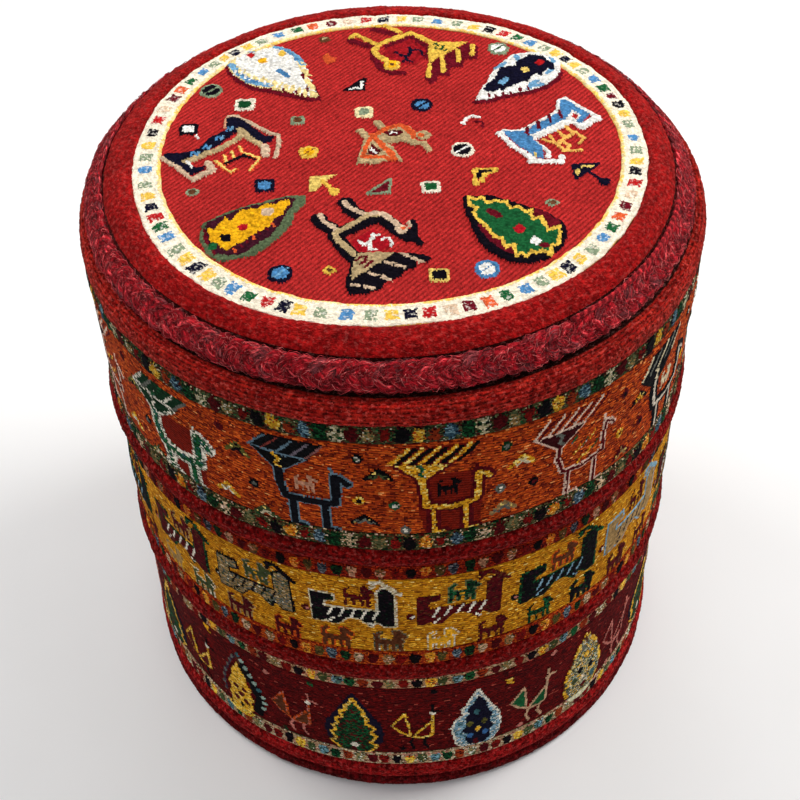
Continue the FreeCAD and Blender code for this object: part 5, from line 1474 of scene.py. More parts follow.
def cypress(c, a, kind):
    f = place(0, 0.12578, 129.3, 215, 0.1439, a, 1.0 + rng.normal(0, 0.012))

    def g(cx, *pts):
        return f(*[(x - cx, y) for x, y in pts])
    if kind == "navy":
        edge = g(908, (910, 290), (868, 360), (850, 410), (815, 448), (828, 500), (780, 530), (762, 610), (778, 700), (788, 760), (838, 803), (905, 818), (962, 808), (1012, 782), (1045, 720), (1054, 640), (1046, 560), (1018, 508), (992, 468), (972, 418), (942, 360))
        c.poly(edge, S["sky"], UP)
        c.line(edge + edge[:1], 1.5, S["white"], UP)
        for x, y in edge[2:-2]:
            c.dot(x + rng.normal(0, 0.6), y + rng.normal(0, 0.8), 1.3, 1.3, S["white"] if rng.random() < 0.6 else S["grey"], UP)
        c.poly(g(908, (910, 342), (882, 412), (848, 445), (858, 495), (838, 535), (850, 590), (815, 640), (850, 675), (838, 735), (872, 790), (905, 770), (950, 798), (988, 745), (985, 690), (1012, 650), (985, 600), (1000, 545), (968, 480), (962, 418), (928, 362)), lin((14, 14, 34)), UP)
        for x, y, k in ((905, 490, "teal"), (866, 588, "olive"), (952, 588, "olive"), (912, 645, "yellow"), (868, 695, "blue"), (958, 692, "blue")):
            c.dot(*g(908, (x, y))[0], 2.5, 3.9, S[k], UP, power=1.3)
        c.line(g(908, (905, 745), (905, 785)), 3.4, S["maroon"], UP)
    elif kind == "green":
        c.poly(g(205, (205, 258), (160, 330), (112, 425), (75, 490), (45, 540), (35, 620), (48, 705), (80, 745), (325, 745), (362, 700), (376, 620), (362, 520), (312, 430), (252, 330)), lin((18, 14, 34)), 0.6)
        zig = g(205, (205, 305), (188, 350), (165, 368), (165, 410), (135, 430), (140, 478), (108, 505), (112, 545), (82, 575), (102, 610), (72, 640), (100, 690), (68, 735), (100, 770), (135, 800), (170, 812), (230, 812), (290, 790), (335, 735), (300, 695), (332, 640), (302, 605), (325, 560), (280, 520), (285, 470), (262, 440), (268, 408), (238, 370), (225, 345))
        c.poly(zig, S["dkgreen"], UP)
        c.line(zig + zig[:1], 2.5, S["yellow"], UP)
        for x, y in ((205, 420), (180, 520), (240, 560), (200, 640), (170, 680), (235, 690), (215, 500)):
            c.line(g(205, (x - 12, y - 14), (x + 10, y + 10)), 1.7, S["maroon"], UP)
        c.dot(*g(205, (203, 735))[0], 3.4, 4.0, S["white"], UP, power=1.2)
        c.line(g(205, (200, 765), (212, 800)), 4.0, S["maroon"], UP)
    else:
        if kind == "yellow":
            c.line(g(300, (300, 300), (262, 338), (215, 440), (175, 530), (160, 640), (168, 700)), 2.2, lin((60, 40, 56)), 0.7)
            for x, y in ((296, 296), (262, 330), (240, 380), (214, 432), (188, 500), (166, 560), (154, 640), (160, 700)):
                c.dot(*g(300, (x, y))[0], 1.5, 2.0, S["grey"], UP)
            c.line(g(300, (335, 350), (402, 470), (440, 600), (412, 740)), 8.6, S["black"], 0.7)
            for x, y in ((305, 290), (332, 322), (362, 366), (392, 412), (420, 458), (446, 506), (466, 560), (472, 616), (456, 676)):
                c.dot(*g(300, (x, y))[0], 2.3, 2.6, lin((150, 172, 158)) if rng.random() < 0.6 else S["teal"], UP, power=1.4)
            body = g(300, (292, 352), (262, 420), (235, 450), (240, 500), (222, 535), (195, 588), (215, 640), (192, 690), (212, 740), (200, 790), (240, 820), (285, 790), (328, 818), (378, 752), (362, 700), (388, 655), (362, 610), (385, 560), (350, 510), (352, 465), (330, 405))
            c.poly(body, S["yellow"], UP)
            for x, y in ((262, 585), (325, 585), (292, 645), (255, 700), (325, 700)):
                c.dot(*g(300, (x, y))[0], 3.0, 3.8, S["maroon"], UP, power=1.2)
            c.dot(*g(300, (287, 755))[0], 2.2, 2.8, S["black"], UP, power=1.4)
        else:
            body = g(300, (300, 285), (262, 352), (228, 430), (196, 520), (172, 600), (165, 690), (188, 760), (240, 812), (318, 822), (398, 800), (442, 720), (458, 620), (446, 520), (412, 430), (362, 350), (330, 300))
            wan = lin((168, 168, 126))
            c.line(body + body[:1], 2.4, S["brown"], 0.7)
            c.poly(body, wan, UP)
            for q in range(len(body)):
                if q % 2:
                    c.line([body[q], body[(q + 1) % len(body)]], 3.0, S["yellow"], UP)
            for x, y, k in ((300, 400, "grey"), (330, 480, "yellow"), (238, 650, "sage"), (395, 690, "teal"), (300, 660, "cream")):
                c.dot(*g(300, (x, y))[0], 3.0, 4.4, S[k], UP, power=1.4)
            mottle(c, wan, [(S["cream"], 0.14), (S["sage"], 0.24), (S["yellow"], 0.12), (S["grey"], 0.14)])
            for x, y, k in ((283, 585, "black"), (371, 599, "black"), (320, 736, "maroon")):
                c.dot(*g(300, (x, y))[0], 3.2, 4.0, S[k], UP, power=1.3)
        c.line(g(300, (300, 300), (318, 352)), 2.6, S["brown"], UP)


def low_bird(c, a, edge, fill, legs, head):
    f = place(550, 0.12578, 66.6, 655, 0.170, a, 1.0 + rng.normal(0, 0.02))
    left = f((418, 552), (495, 455), (512, 560), (520, 640), (470, 610))
    right = f((542, 640), (640, 535), (655, 600), (640, 650), (590, 655))
    if fill is not None:
        c.poly(left, fill, 0.7)
        c.poly(right, fill, 0.7)
    c.line(left + left[:1], 1.9, edge, UP)
    c.line(right + right[:1], 1.9, edge, UP)
    c.line(f((520, 640), (545, 655), (600, 655)), 2.2, edge, UP)
    c.line(f((652, 640), (650, 560), (652, 480)), 2.2, edge, UP)
    c.line(f((540, 655), (520, 690), (540, 745)), 2.2, legs, UP)
    c.line(f((612, 655), (600, 700), (625, 745)), 2.2, legs, UP)
    c.dot(*f((652, 466))[0], 2.2, 2.6, head, UP)
    c.line(f((662, 450), (702, 462)), 2.0, legs, UP)
    c.line(f((652, 450), (650, 405)), 1.8, legs, UP)


def make_crimson():
    c = side_cloth(44.8, 131.2, S["crimson_field"], du=1.15, dv=1.08)
    seen = [(-37.4, "yellow"), (-11.0, "green"), (14.7, "navy"), (41.0, "cream")]
    cyc = ["green", "navy", "yellow", "green", "cream", "navy", "green", "yellow", "navy", "green"]
    trees = seen + [(41.0 + 25.6 * i, cyc[i - 1]) for i in range(1, 11)]
    for a, k in trees:
        cypress(c, a, k)
    birds = [(-48.0 - 0.5, "pink", None, "pink", "pink"), (-24.2, "orange", "brown", "pink", "white"), (1.7, "yellow", None, "black", "white"), (27.2, "beige", "green", "beige", "beige"), (52.9, "pink", None, "pink", "pink")]
    bc = [("yellow", "maroon", "black", "white"), ("beige", "green", "beige", "beige"), ("orange", "brown", "pink", "white"), ("sky", None, "black", "white"), ("pink", None, "pink", "pink")]
    for i, (a, _) in enumerate(trees[3:]):
        nxt = (trees[3:] + [(322.6, "")])[i + 1][0] if i + 1 < len(trees[3:]) else 322.6
        if i == 0:
            continue
        mid = (a + (trees[3:][i + 1][0] if i + 1 < len(trees[3:]) else 322.6)) / 2 - 0.4
        birds.append((mid,) + bc[i % 5])
    for i, (a, e, fl, lg, hd) in enumerate(birds[1:] if len(birds) > 14 else birds):
        low_bird(c, a, S[e], None if fl is None else S[fl], S[lg], S[hd])
    small = [(-45.5, 125.5, "ess", "gold"), (-29.8, 117.5, "spot", "pink"), (-19.5, 124.0, "spot", "dkgreen"), (5.6, 125.3, "spot", "black"), (21.7, 115.5, "ess", "yellow"), (32.0, 125.3, "spot", "pink"),
             (-0.9, 51.5, "spot", "black"), (24.8, 49.5, "spot", "pink"), (-26.8, 49.5, "spot", "dkgreen"), (50.5, 49.0, "spot", "pink")]
    for i in range(20):
        small.append((64.0 + 12.3 * i, (124.5, 116.5, 50.5)[i % 3], ("spot", "ess", "spot")[i % 3], ("pink", "yellow", "black", "gold", "pink", "dkgreen")[i % 6]))
    for a, z, kd, col in small:
        filler(c, math.radians((a + 180) % 360 - 180) * R0, z, kd, S[col], S[col])
    mottle(c, S["crimson_field"], [(lin((110, 14, 12)), 0.13), (lin((52, 3, 5)), 0.26), (lin((168, 74, 60)), 0.010)], 3)
    mottle(c, S["dkgreen"], [(S["green"], 0.3), (S["maroon"], 0.14), (S["black"], 0.1)])
    mottle(c, S["yellow"], [(S["lemon"], 0.2), (S["gold"], 0.2), (S["brown"], 0.12)])
    mottle(c, S["cream"], [(S["white"], 0.25), (S["yellow"], 0.2), (S["grey"], 0.22), (S["sky"], 0.1)])
    mottle(c, S["sky"], [(S["white"], 0.2), (S["teal"], 0.22)])
    mottle(c, S["orange"], [(S["pink"], 0.25), (S["brown"], 0.25)])
    c.yarn(0.14, 2, 0.07)
    ob = side_strip("side_field_crimson", c, 197.9, MAT_SIDE)


make_orange()
make_gold()
make_crimson()


# ---- pile stripes --------------------------------------------------------------------
def pile_stripe(name, z0, z1, base, dark, light, r_base=197.9, bulge=3.2):
    c = side_cloth(z0, z1, base, du=1.05, dv=1.0, serrate=0.0)
    c.pile[:] = 1.0
    mottle(c, base, [(dark, 0.22), (light, 0.14)])
    patch = smooth_noise(c.nv, c.nu, 14) * 0.12 + smooth_noise(c.nv, c.nu, 5) * 0.10
    c.col = np.clip(c.col * (1 + patch[:, :, None]), 0, 1)
    c.lift = smooth_noise(c.nv, c.nu, 3) * 0.28 + smooth_noise(c.nv, c.nu, 10) * 0.22
    c.yarn(0.13, 2, 0.08)
    blend(c, 2)
    ob = side_strip(name, c, r_base, MAT_STRIPE, rough_r=0.16, bulge=bulge, groove=0.3, inner=196.6)
    return ob


RED1, RED1D, RED1L = lin((103, 6, 6)), lin((70, 3, 4)), lin((146, 22, 18))
pile_stripe("side_stripe_1", 271.0, 286.6, RED1, RED1D, RED1L)
pile_stripe("side_stripe_2", 143.2, 161.6, lin((106, 7, 6)), RED1D, RED1L)
pile_stripe("side_stripe_3", 12.4, 28.6, lin((134, 14, 14)), RED1D, lin((170, 34, 36)))


# =====================================================================================
# lathed pile and cloth pieces
# =====================================================================================
def resample(profile, step):
    """Points every step mm along a polyline of (r, z), straight between its corners."""
    p = np.asarray(profile, float)
    d = np.concatenate([[0], np.cumsum(np.hypot(*np.diff(p, axis=0).T))])
    n = max(2, int(round(d[-1] / step)))
    t = np.linspace(0, d[-1], n + 1)
    return np.stack([np.interp(t, d, p[:, 0]), np.interp(t, d, p[:, 1])], -1), t


def soften(p, times=2):
    q = p.copy()
    for _ in range(times):
        q[1:-1] = 0.25 * q[:-2] + 0.5 * q[1:-1] + 0.25 * q[2:]
    return q


def lathe_piece(name, profile, inner, cx, du, dv, colors, mat, body, replaced, r_ref, noise=0.15, tuft=0.3, patch=0.12, a0=-180.0, shape=None, spread=0.12, pile=1.0, tone=None):
    """profile: the shown side as (r, z) points; inner: the points that close it. colors: base and (colour, share) pairs."""
    p, t = resample(profile, dv)
    p = soften(p, 2)
    nv = len(p) - 1
    nu = int(round(2 * math.pi * r_ref / du))
    c = Cloth(-math.pi * r_ref, 0, 2 * math.pi * r_ref / nu, t[1] - t[0], nu, nv, colors[0], serrate=0.0)
    c.pile[:] = pile
    mottle(c, colors[0], colors[1])
    pt = smooth_noise(nv, nu, 16) * patch + smooth_noise(nv, nu, 5) * patch * 0.8
    c.col = np.clip(c.col * (1 + pt[:, :, None]), 0, 1)
    c.yarn(spread, 2, 0.07)
    blend(c, 2)
    # tone: painted shade, a darkening by radius and height where given
    if tone is not None:
        c.col = c.col * tone(0.5 * (p[:-1, 0] + p[1:, 0]), 0.5 * (p[:-1, 1] + p[1:, 1]))[:, None, None]
    lift = corner_mean(smooth_noise(nv, nu, 3) * tuft + smooth_noise(nv, nu, 11) * tuft * 0.8)
    n = np.zeros_like(p)
    d = np.gradient(p, axis=0)
    n[:, 0], n[:, 1] = d[:, 1], -d[:, 0]
    n /= np.maximum(np.hypot(n[:, 0], n[:, 1]), 1e-9)[:, None]
    out = lift + rng.normal(0, noise, lift.shape)
    out[0] = out[-1] = 0
    out[:, -1] = out[:, 0]
    a = np.radians(a0) + np.linspace(0, 2 * math.pi, nu + 1)
    A = np.repeat(a[None, :], nv + 1, 0)
    Rg = p[:, 0][:, None] + n[:, 0][:, None] * out
    Zg = p[:, 1][:, None] + n[:, 1][:, None] * out
    if shape is not None:
        Rg, Zg = shape(Rg, Zg, A)
    uu = A * r_ref
    vv = np.repeat(t[:, None], nu + 1, 1)
    ob = strip_solid(name, Rg, Zg, A, [q[0] for q in inner], [q[1] for q in inner], cx, c.col, c.pile, uu, vv, mat, body, replaced)
    return ob, t[-1]


PILE = (lin((142, 10, 12)), [(lin((102, 5, 7)), 0.2), (lin((176, 28, 25)), 0.16)])
RIM = (lin((134, 13, 11)), [(lin((88, 5, 6)), 0.24), (lin((186, 44, 30)), 0.20)])


def border_shape(Rg, Zg, A):
    return Rg + (ring_outer(A) - 160.3) * smoothstep((176.0 - Rg) / 14.0), Zg


# painted shade: the pile is painted near black in the crease along the plait and below it, where the plait covers it
def border_crease_shade(r, z):
    return 1 - 0.95 * smoothstep((431.3 - z) / 0.7)


# red pile border of the lid, from the cream ring over the edge and down to the plait
ob, length = lathe_piece(
    "lid_pile_ring",
    [(160.1, 436.4), (160.6, 438.0), (162.3, 438.7), (165.2, 438.6), (168.6, 437.7), (172.2, 435.9), (175.4, 433.7), (178.0, 431.2), (179.3, 428.6), (179.5, 426.0), (179.2, 421.0), (179.1, 415.0)],
    [(177.2, 414.8), (177.2, 426.4), (173.4, 430.4), (166.4, 434.4), (160.3, 435.4)],
    LID_X, 1.15, 1.1, PILE, MAT_BORDER, "lid", ("lid_pile_border",), 170.0, noise=0.17, tuft=0.34, patch=0.13, shape=border_shape, tone=border_crease_shade)


# painted shade: where the lid rests the pile is painted darker, and near black along the lid's edge as painted shadow
# in the gap below the plait
def rim_gap_shade(r, z):
    top = smoothstep((z - 409.5) / 1.5)
    under_lid_shade = 1 - 0.5 * top * smoothstep((190.5 - r) / 1.2)
    # painted shadow of the gap below the plait
    edge = 1 - 0.94 * top * smoothstep((191.6 - r) / 1.4) * smoothstep((r - 179.5) / 2.0)
    return under_lid_shade * edge


# rim strip: ridged pile with its cut end lapped over at the left of the front
def rim_shape(Rg, Zg, A):
    ridge = 0.42 * np.cos(2 * math.pi * (Zg - 404.0) / 2.6)
    outer = smoothstep((Rg - 195.6) / 2.0)
    Rg = Rg + (ridge - 1.7 * (1 - np.cos(2 * A)) / 2) * outer
    lap = np.degrees(A[0] - A[0, 0])           # 0 at the lapped end, growing to the right
    up = 1.5 * smoothstep((8.0 - lap) / 6.0)
    Rg = Rg + up[None, :] * outer
    wob = 0.5 * np.sin(3 * A + 1.0) + 0.35 * np.sin(7 * A) + 0.25 * np.sin(16 * A + 2.0)
    low = smoothstep((405.0 - Zg) / 5.0) * outer
    wob = 0.7 * wob - 2.6 * (1 - np.cos(2 * A)) / 2
    return Rg, Zg + wob * low


ob, length = lathe_piece(
    "rim_pile",
    [(197.4, 398.0), (199.0, 398.3), (199.9, 399.6), (200.1, 402.5), (199.9, 406.0), (199.1, 409.2), (197.6, 411.6), (195.2, 412.7), (192.0, 412.8), (185.0, 412.7), (172.0, 412.7), (169.0, 412.3), (166.4, 410.8), (165.0, 408.0), (164.8, 402.0), (164.8, 395.2)],
    [(167.6, 395.1), (167.6, 409.2), (194.8, 409.2), (195.4, 398.6)],
    0.0, 1.15, 1.0, RIM, MAT_RIM, "drum", ("rim_band",), 190.0, noise=0.13, tuft=0.22, patch=0.13, a0=-59.7, shape=rim_shape, tone=rim_gap_shade)


# foot roll
def roll_profile(cr, cz, r, n=26, start=-90.0):
    return [(cr + r * math.cos(math.radians(start + 360.0 * k / n)), cz + r * math.sin(math.radians(start + 360.0 * k / n))) for k in range(n + 1)]


def roll_shape(Rg, Zg, A):
    twist = np.sin(110 * A + np.arctan2(Zg - 6.3, Rg - 195.3) * 1.0)
    k = 1.12 + 0.014 * twist + 0.014 * np.sin(23 * A)
    return 195.2 + (Rg - 195.3) * k, np.maximum(6.1 + (Zg - 6.3) * k, 0.4)


EDGE = (lin((84, 8, 11)), [(lin((54, 4, 6)), 0.25), (lin((126, 20, 24)), 0.14)])
prof = roll_profile(195.3, 6.3, 5.2, 30, 175.0)[:-2]
ob, length = lathe_piece("base_roll", prof[::1], [(190.8, 7.4)], 0.0, 1.3, 1.0, EDGE, MAT_MAROON, "drum", ("base_piping",), 195.3, noise=0.12, tuft=0.2, patch=0.12, shape=roll_shape)


# =====================================================================================
# the plait round the lid
# =====================================================================================
def streaks(n_long, n_round, long_cell, loose=0.0):
    """Random streaks that run along a strand: slow along it, fresh across it. Closed in both directions."""
    g = n_long // long_cell
    base = rng.normal(0, 1, (g, n_round))
    x = np.arange(n_long) / n_long * g
    i = x.astype(int) % g
    f = (x - x.astype(int))[:, None]
    f = f * f * (3 - 2 * f)
    v = base[i] * (1 - f) + base[(i + 1) % g] * f
    if loose:
        v = (1 - loose) * v + loose * 0.5 * (np.roll(v, 1, 1) + np.roll(v, -1, 1))
    return v


def make_plait():
    """Three loose strands of soft wool in a flat plait, each a blend of red, maroon and grey-brown, with stray hairs."""
    periods = 46
    per = 32
    nseg = periods * per
    m = 30
    theta = np.linspace(0, 2 * math.pi, nseg, endpoint=False)
    # at the back the plait is drawn tighter and lies flatter against the lid
    bearing = np.abs(np.degrees(np.where(theta > math.pi, theta - 2 * math.pi, theta)))
    back = smoothstep((bearing - 100.0) / 35.0)
    tip = np.radians(48.0 + 24.0 * back)
    wide = (np.cos(tip), -np.sin(tip))                   # in (r, z): outwards and down
    thick = (np.sin(tip), np.cos(tip))                   # outwards and up
    size = 1.0 - 0.20 * back
    centre_r = 185.2 - 1.6 * back
    centre_z = 423.4 - 2.2 * back
    red, deep_red, grey, rose = lin((156, 22, 32)), lin((98, 10, 20)), lin((106, 52, 56)), lin((204, 74, 78))
    drift = 0.35 * np.sin(3 * theta + 0.7) + 0.3 * np.sin(8 * theta + 2.0)
    psi = np.linspace(0, 2 * math.pi, m, endpoint=False)
    out = []
    for k in range(3):
        ph = periods * theta + 2 * math.pi * k / 3 + 0.22 * np.sin(5 * theta + k) + 0.10 * np.sin(17 * theta + 2 * k)
        amp = 1.0 + 0.07 * np.sin(13 * theta + 2 * k) + 0.05 * np.sin(31 * theta)
        u = 4.0 * np.sin(ph) * amp * size
        w = 0.52 * np.sin(2 * ph) * amp * size
        pr = centre_r + u * wide[0] + w * thick[0] + drift * 0.4
        pz = centre_z + u * wide[1] + w * thick[1] + drift
        P = np.stack([LID_X + pr * np.sin(theta), -pr * np.cos(theta), pz], -1)
        T_ = np.roll(P, -1, 0) - np.roll(P, 1, 0)
        T_ /= np.linalg.norm(T_, axis=1)[:, None]
        er = np.stack([np.sin(theta), -np.cos(theta), np.zeros(nseg)], -1)
        ez = np.array([0, 0, 1.0])
        nrm = er * thick[0][:, None] + ez[None, :] * thick[1][:, None]
        side = np.cross(nrm, T_)
        side /= np.linalg.norm(side, axis=1)[:, None]
        nrm = np.cross(T_, side)
        s = np.cumsum(np.linalg.norm(P - np.roll(P, 1, 0), axis=1))
        fine, coarse = streaks(nseg, m, 7), streaks(nseg, m, 16, 0.6)
        swell = 1.0 + 0.05 * np.sin(29 * theta + k) + 0.04 * np.sin(53 * theta + 2 * k)
        lobes = size[:, None] * (swell[:, None] + 0.05 * fine + 0.045 * coarse)
        hw, ht = 4.75, 2.0
        cp, sp = np.cos(psi), np.sin(psi)
        X = P[:, None, :] + side[:, None, :] * (hw * cp[None, :] * lobes)[..., None] + nrm[:, None, :] * (ht * sp[None, :] * lobes)[..., None]
        verts = X.reshape(-1, 3)
        j, i = np.meshgrid(np.arange(nseg), np.arange(m), indexing="ij")
        j2, i2 = (j + 1) % nseg, (i + 1) % m
        quads = np.stack([j * m + i, j * m + i2, j2 * m + i2, j2 * m + i], -1).reshape(-1, 4)
        # the blend of colours: long soft patches of each along the strand
        blend = streaks(nseg, m, 22, 0.9)
        greyish = smoothstep((smooth_noise(nseg, m, 13) + 0.35 * blend - 0.30) / 0.35)
        col = red[None, None, :] * np.ones((nseg, m, 1))
        dk = smoothstep((0.6 * coarse + 0.9 * smooth_noise(nseg, m, 9) + 0.1) / 1.2)[:, :, None]
        col = col * (1 - dk) + deep_red * dk
        gk = (greyish * 0.85)[:, :, None]
        col = col * (1 - gk) + grey * gk
        rk = (0.6 * smoothstep((fine - 0.9) / 0.9))[:, :, None]
        col = col * (1 - rk) + rose * rk
        col *= np.clip(1 + 0.34 * fine + 0.16 * rng.normal(0, 1, (nseg, m)), 0.2, 2.0)[:, :, None]
        uv = np.stack([np.repeat(s[:, None], m, 1), np.repeat((psi * 3.1)[None, :], nseg, 0)], -1).reshape(-1, 2)
        cols = np.clip(col, 0, 1).reshape(-1, 3)
        # loose fibres lie roughly along the strand and stand off it, so its outline is soft
        count = 7600
        q = rng.integers(0, nseg, count)
        p0 = np.where(rng.random(count) < 0.9, rng.uniform(0.1, math.pi - 0.1, count), rng.uniform(0, 2 * math.pi, count))
        span = rng.integers(2, 5, count) * np.where(rng.random(count) < 0.5, 1, -1)
        turn = rng.normal(0, 0.62, count)
        rise = rng.uniform(0.2, 2.0, count)
        rad = rng.uniform(0.15, 0.30, count)
        tones = np.array([red, rose, grey, deep_red, lin((206, 104, 102)), lin((180, 38, 50)), rose])
        tone = tones[rng.integers(0, len(tones), count)] * rng.uniform(0.55, 1.3, (count, 1))
        rows = 3
        f = np.arange(rows) / (rows - 1)
        qq = (q[:, None] + np.rint(span[:, None] * f[None, :]).astype(int)) % nseg
        ang = p0[:, None] + turn[:, None] * f[None, :]
        lift = 1.0 + rise[:, None] * np.sin(math.pi * np.minimum(1.0, f * 0.75 + 0.05))[None, :] * 0.20
        c0 = P[qq] + size[qq][..., None] * (side[qq] * (hw * np.cos(ang) * lift)[..., None] + nrm[qq] * (ht * np.sin(ang) * (lift + 0.12))[..., None])
        rr = rad[:, None] * (1.0 - 0.75 * f)[None, :]
        an = 2 * math.pi * np.arange(3) / 3
        hv = c0[:, :, None, :] + side[qq][:, :, None, :] * (rr[..., None] * np.cos(an))[..., None] + nrm[qq][:, :, None, :] * (rr[..., None] * np.sin(an))[..., None]
        hu = np.stack([np.repeat(s[qq][:, :, None], 3, 2), np.repeat((ang * 3.1)[:, :, None], 3, 2)], -1)
        b0 = len(verts) + np.arange(count) * rows * 3
        hq = []
        for g in range(rows - 1):
            for e in range(3):
                a_, b_ = b0 + g * 3 + e, b0 + g * 3 + (e + 1) % 3
                hq.append(np.stack([a_, b_, b_ + 3, a_ + 3], -1))
        ends = np.concatenate([np.stack([b0 + 2, b0 + 1, b0], -1), np.stack([b0 + 6, b0 + 7, b0 + 8], -1)]).tolist()
        verts = np.concatenate([verts, hv.reshape(-1, 3)])
        uv = np.concatenate([uv, hu.reshape(-1, 2)])
        quads = np.concatenate([quads] + hq)
        cols = np.concatenate([cols] + [np.clip(tone, 0, 1)] * len(hq))
        me = build_mesh("lid_plait_%d" % (k + 1), verts * MM, quads, cols, np.ones(len(quads)), uv * MM, extra_faces=ends, extra_col=red)
        out.append(add("lid_plait_%d" % (k + 1), me, MAT_BRAID, "lid", ("lid_braid",)))
    return out


make_plait()


def twisted_cord(name, centre_r, centre_z, radius, pitch, a_from, a_to, cx, colors, mat, body, replaced=(), plies=2, wobble=0.3):
    """A thin sewn cord of twisted plies."""
    length = math.radians(a_to - a_from) * centre_r
    n = int(length / 0.7)
    th = np.radians(np.linspace(a_from, a_to, n))
    s = np.linspace(0, length, n)
    m = 14
    psi = np.linspace(0, 2 * math.pi, m, endpoint=False)
    lob = 0.78 + 0.22 * np.abs(np.cos(plies / 2.0 * (psi[None, :] - (2 * math.pi * s / pitch)[:, None])))
    lob *= 1 + rng.normal(0, 0.03, lob.shape)
    rr = centre_r + wobble * np.sin(s / 23.0)
    zz = centre_z + wobble * np.sin(s / 31.0 + 1.0)
    R = rr[:, None] + radius * lob * np.cos(psi)[None, :]
    Z = zz[:, None] + radius * lob * np.sin(psi)[None, :]
    X = cx + R * np.sin(th)[:, None]
    Y = -R * np.cos(th)[:, None]
    verts = np.stack([X, Y, Z], -1).reshape(-1, 3)
    j, i = np.meshgrid(np.arange(n - 1), np.arange(m), indexing="ij")
    i2 = (i + 1) % m
    quads = np.stack([j * m + i, j * m + i2, (j + 1) * m + i2, (j + 1) * m + i], -1).reshape(-1, 4)
    col = np.empty((n - 1, m, 3))
    col[:] = colors[0]
    side = np.cos(plies / 2.0 * (psi[None, :] - (2 * math.pi * s / pitch)[:, None]))[: n - 1] > 0
    col[side] = colors[1]
    col *= (1 + rng.normal(0, 0.12, col.shape[:2]))[:, :, None]
    # painted shade in the grooves between the plies
    col *= (0.45 + 0.55 * ((lob[: n - 1] - 0.7) / 0.34).clip(0, 1))[:, :, None]
    uv = np.stack([np.repeat(s[:, None], m, 1), np.repeat((psi * radius)[None, :], n, 0)], -1).reshape(-1, 2)
    ends = [np.arange(m)[::-1], (n - 1) * m + np.arange(m)]
    me = build_mesh(name, verts * MM, quads, np.clip(col, 0, 1).reshape(-1, 3), np.ones(len(quads)), uv * MM, extra_faces=ends)
    return add(name, me, mat, body, replaced)


twisted_cord("lid_crease_cord", 181.6, 430.9, 1.75, 5.4, 33.0, 74.0, LID_X, (lin((184, 40, 46)), lin((116, 14, 24))), MAT_BRAID, "lid")

# =====================================================================================
# hidden padding, lining, underside
# =====================================================================================
FELT = (lin((138, 130, 122)), [(lin((96, 92, 90)), 0.2), (lin((176, 160, 150)), 0.15), (lin((120, 70, 66)), 0.03)])
MAT_WAD = mat_pile("felt_wadding", 1.2, rough=0.95, sheen=0.25, painted_highlight=(0.45, 0.42, 0.4, 1.0), highlight_share=0.3, depth=0.5)
ob, length = lathe_piece("wall_padding_felt", [(195.4, 12.6), (195.5, 200.0), (195.4, 408.6)], [(190.3, 408.6), (190.3, 12.6)], 0.0, 3.0, 3.0, FELT, MAT_WAD, "drum", ("wall_padding",), 195.5, noise=0.08, tuft=0.1)


def disc(name, rings, cx, color, mat, body, replaced, under, na=240, noise=0.0, spread=0.06, shape=None):
    """A round sheet. rings: (r, z) from the middle outwards for the shown side, under: a list of (r, z) for the other
    side, back to the middle.
    """
    p, t = resample(rings, 3.0)
    a = np.linspace(0, 2 * math.pi, na, endpoint=False)
    p = p[p[:, 0] > 1.0]
    A, Rr = np.meshgrid(a, p[:, 0])
    Zz = np.repeat(p[:, 1][:, None], na, 1)
    if shape is not None:
        Rr, Zz = shape(Rr, Zz, A)
    Zz = Zz + rng.normal(0, noise, Zz.shape) if noise else Zz
    back_pts = np.asarray(under, float)
    Rb = np.repeat(back_pts[:, 0][:, None], na, 1)
    Zb = np.repeat(back_pts[:, 1][:, None], na, 1)
    Rg, Zg = np.concatenate([Rr, Rb]), np.concatenate([Zz, Zb])
    Ag = np.repeat(a[None, :], len(Rg), 0)
    verts = np.stack([cx + Rg * np.cos(Ag), Rg * np.sin(Ag), Zg], -1).reshape(-1, 3)
    rows = len(Rg)
    centre = np.array([[cx, 0, Zz[0].mean()], [cx, 0, Zb[-1].mean()]])
    nverts = len(verts)
    verts = np.concatenate([verts, centre])
    j, i = np.meshgrid(np.arange(rows - 1), np.arange(na), indexing="ij")
    i2 = (i + 1) % na
    quads = np.stack([j * na + i, j * na + i2, (j + 1) * na + i2, (j + 1) * na + i], -1).reshape(-1, 4)
    tris = [(nverts, int((k + 1) % na), int(k)) for k in range(na)] + [(nverts + 1, (rows - 1) * na + k, (rows - 1) * na + (k + 1) % na) for k in range(na)]
    col = np.tile(color, (len(quads), 1)) * (1 + rng.normal(0, spread, (len(quads), 1)))
    me = build_mesh(name, verts * MM, quads, np.clip(col, 0, 1), np.zeros(len(quads)), verts[:, :2] * MM, extra_faces=tris, extra_col=color)
    return add(name, me, mat, body, replaced)


# foam of the lid: crowned, with a soft shoulder
ob = disc("lid_foam_pad", [(0, 435.2), (80, 435.1), (130, 434.8), (158, 434.5), (164, 433.6), (171, 430.6), (175.4, 427.0), (176.6, 424.6)], LID_X, lin((222, 204, 150)), MAT_FOAM, "lid", ("lid_foam",),
          [(176.4, 423.5), (120.0, 423.4), (40.0, 423.4)], na=180)


def lining_shape(Rg, Zg, A):
    soft = 0.55 * np.sin(17 * A + 0.6 * np.sin(Zg / 60.0)) * np.sin(math.pi * (Zg - 20) / 372.0).clip(0, 1) + 0.3 * np.sin(41 * A + Zg / 45.0) * np.sin(math.pi * (Zg - 20) / 372.0).clip(0, 1)
    seam = 1.1 * np.exp(-((np.degrees(A) - 150) / 0.9) ** 2)
    return Rg - 0.35 + 0.5 * soft - seam * 0.8, Zg


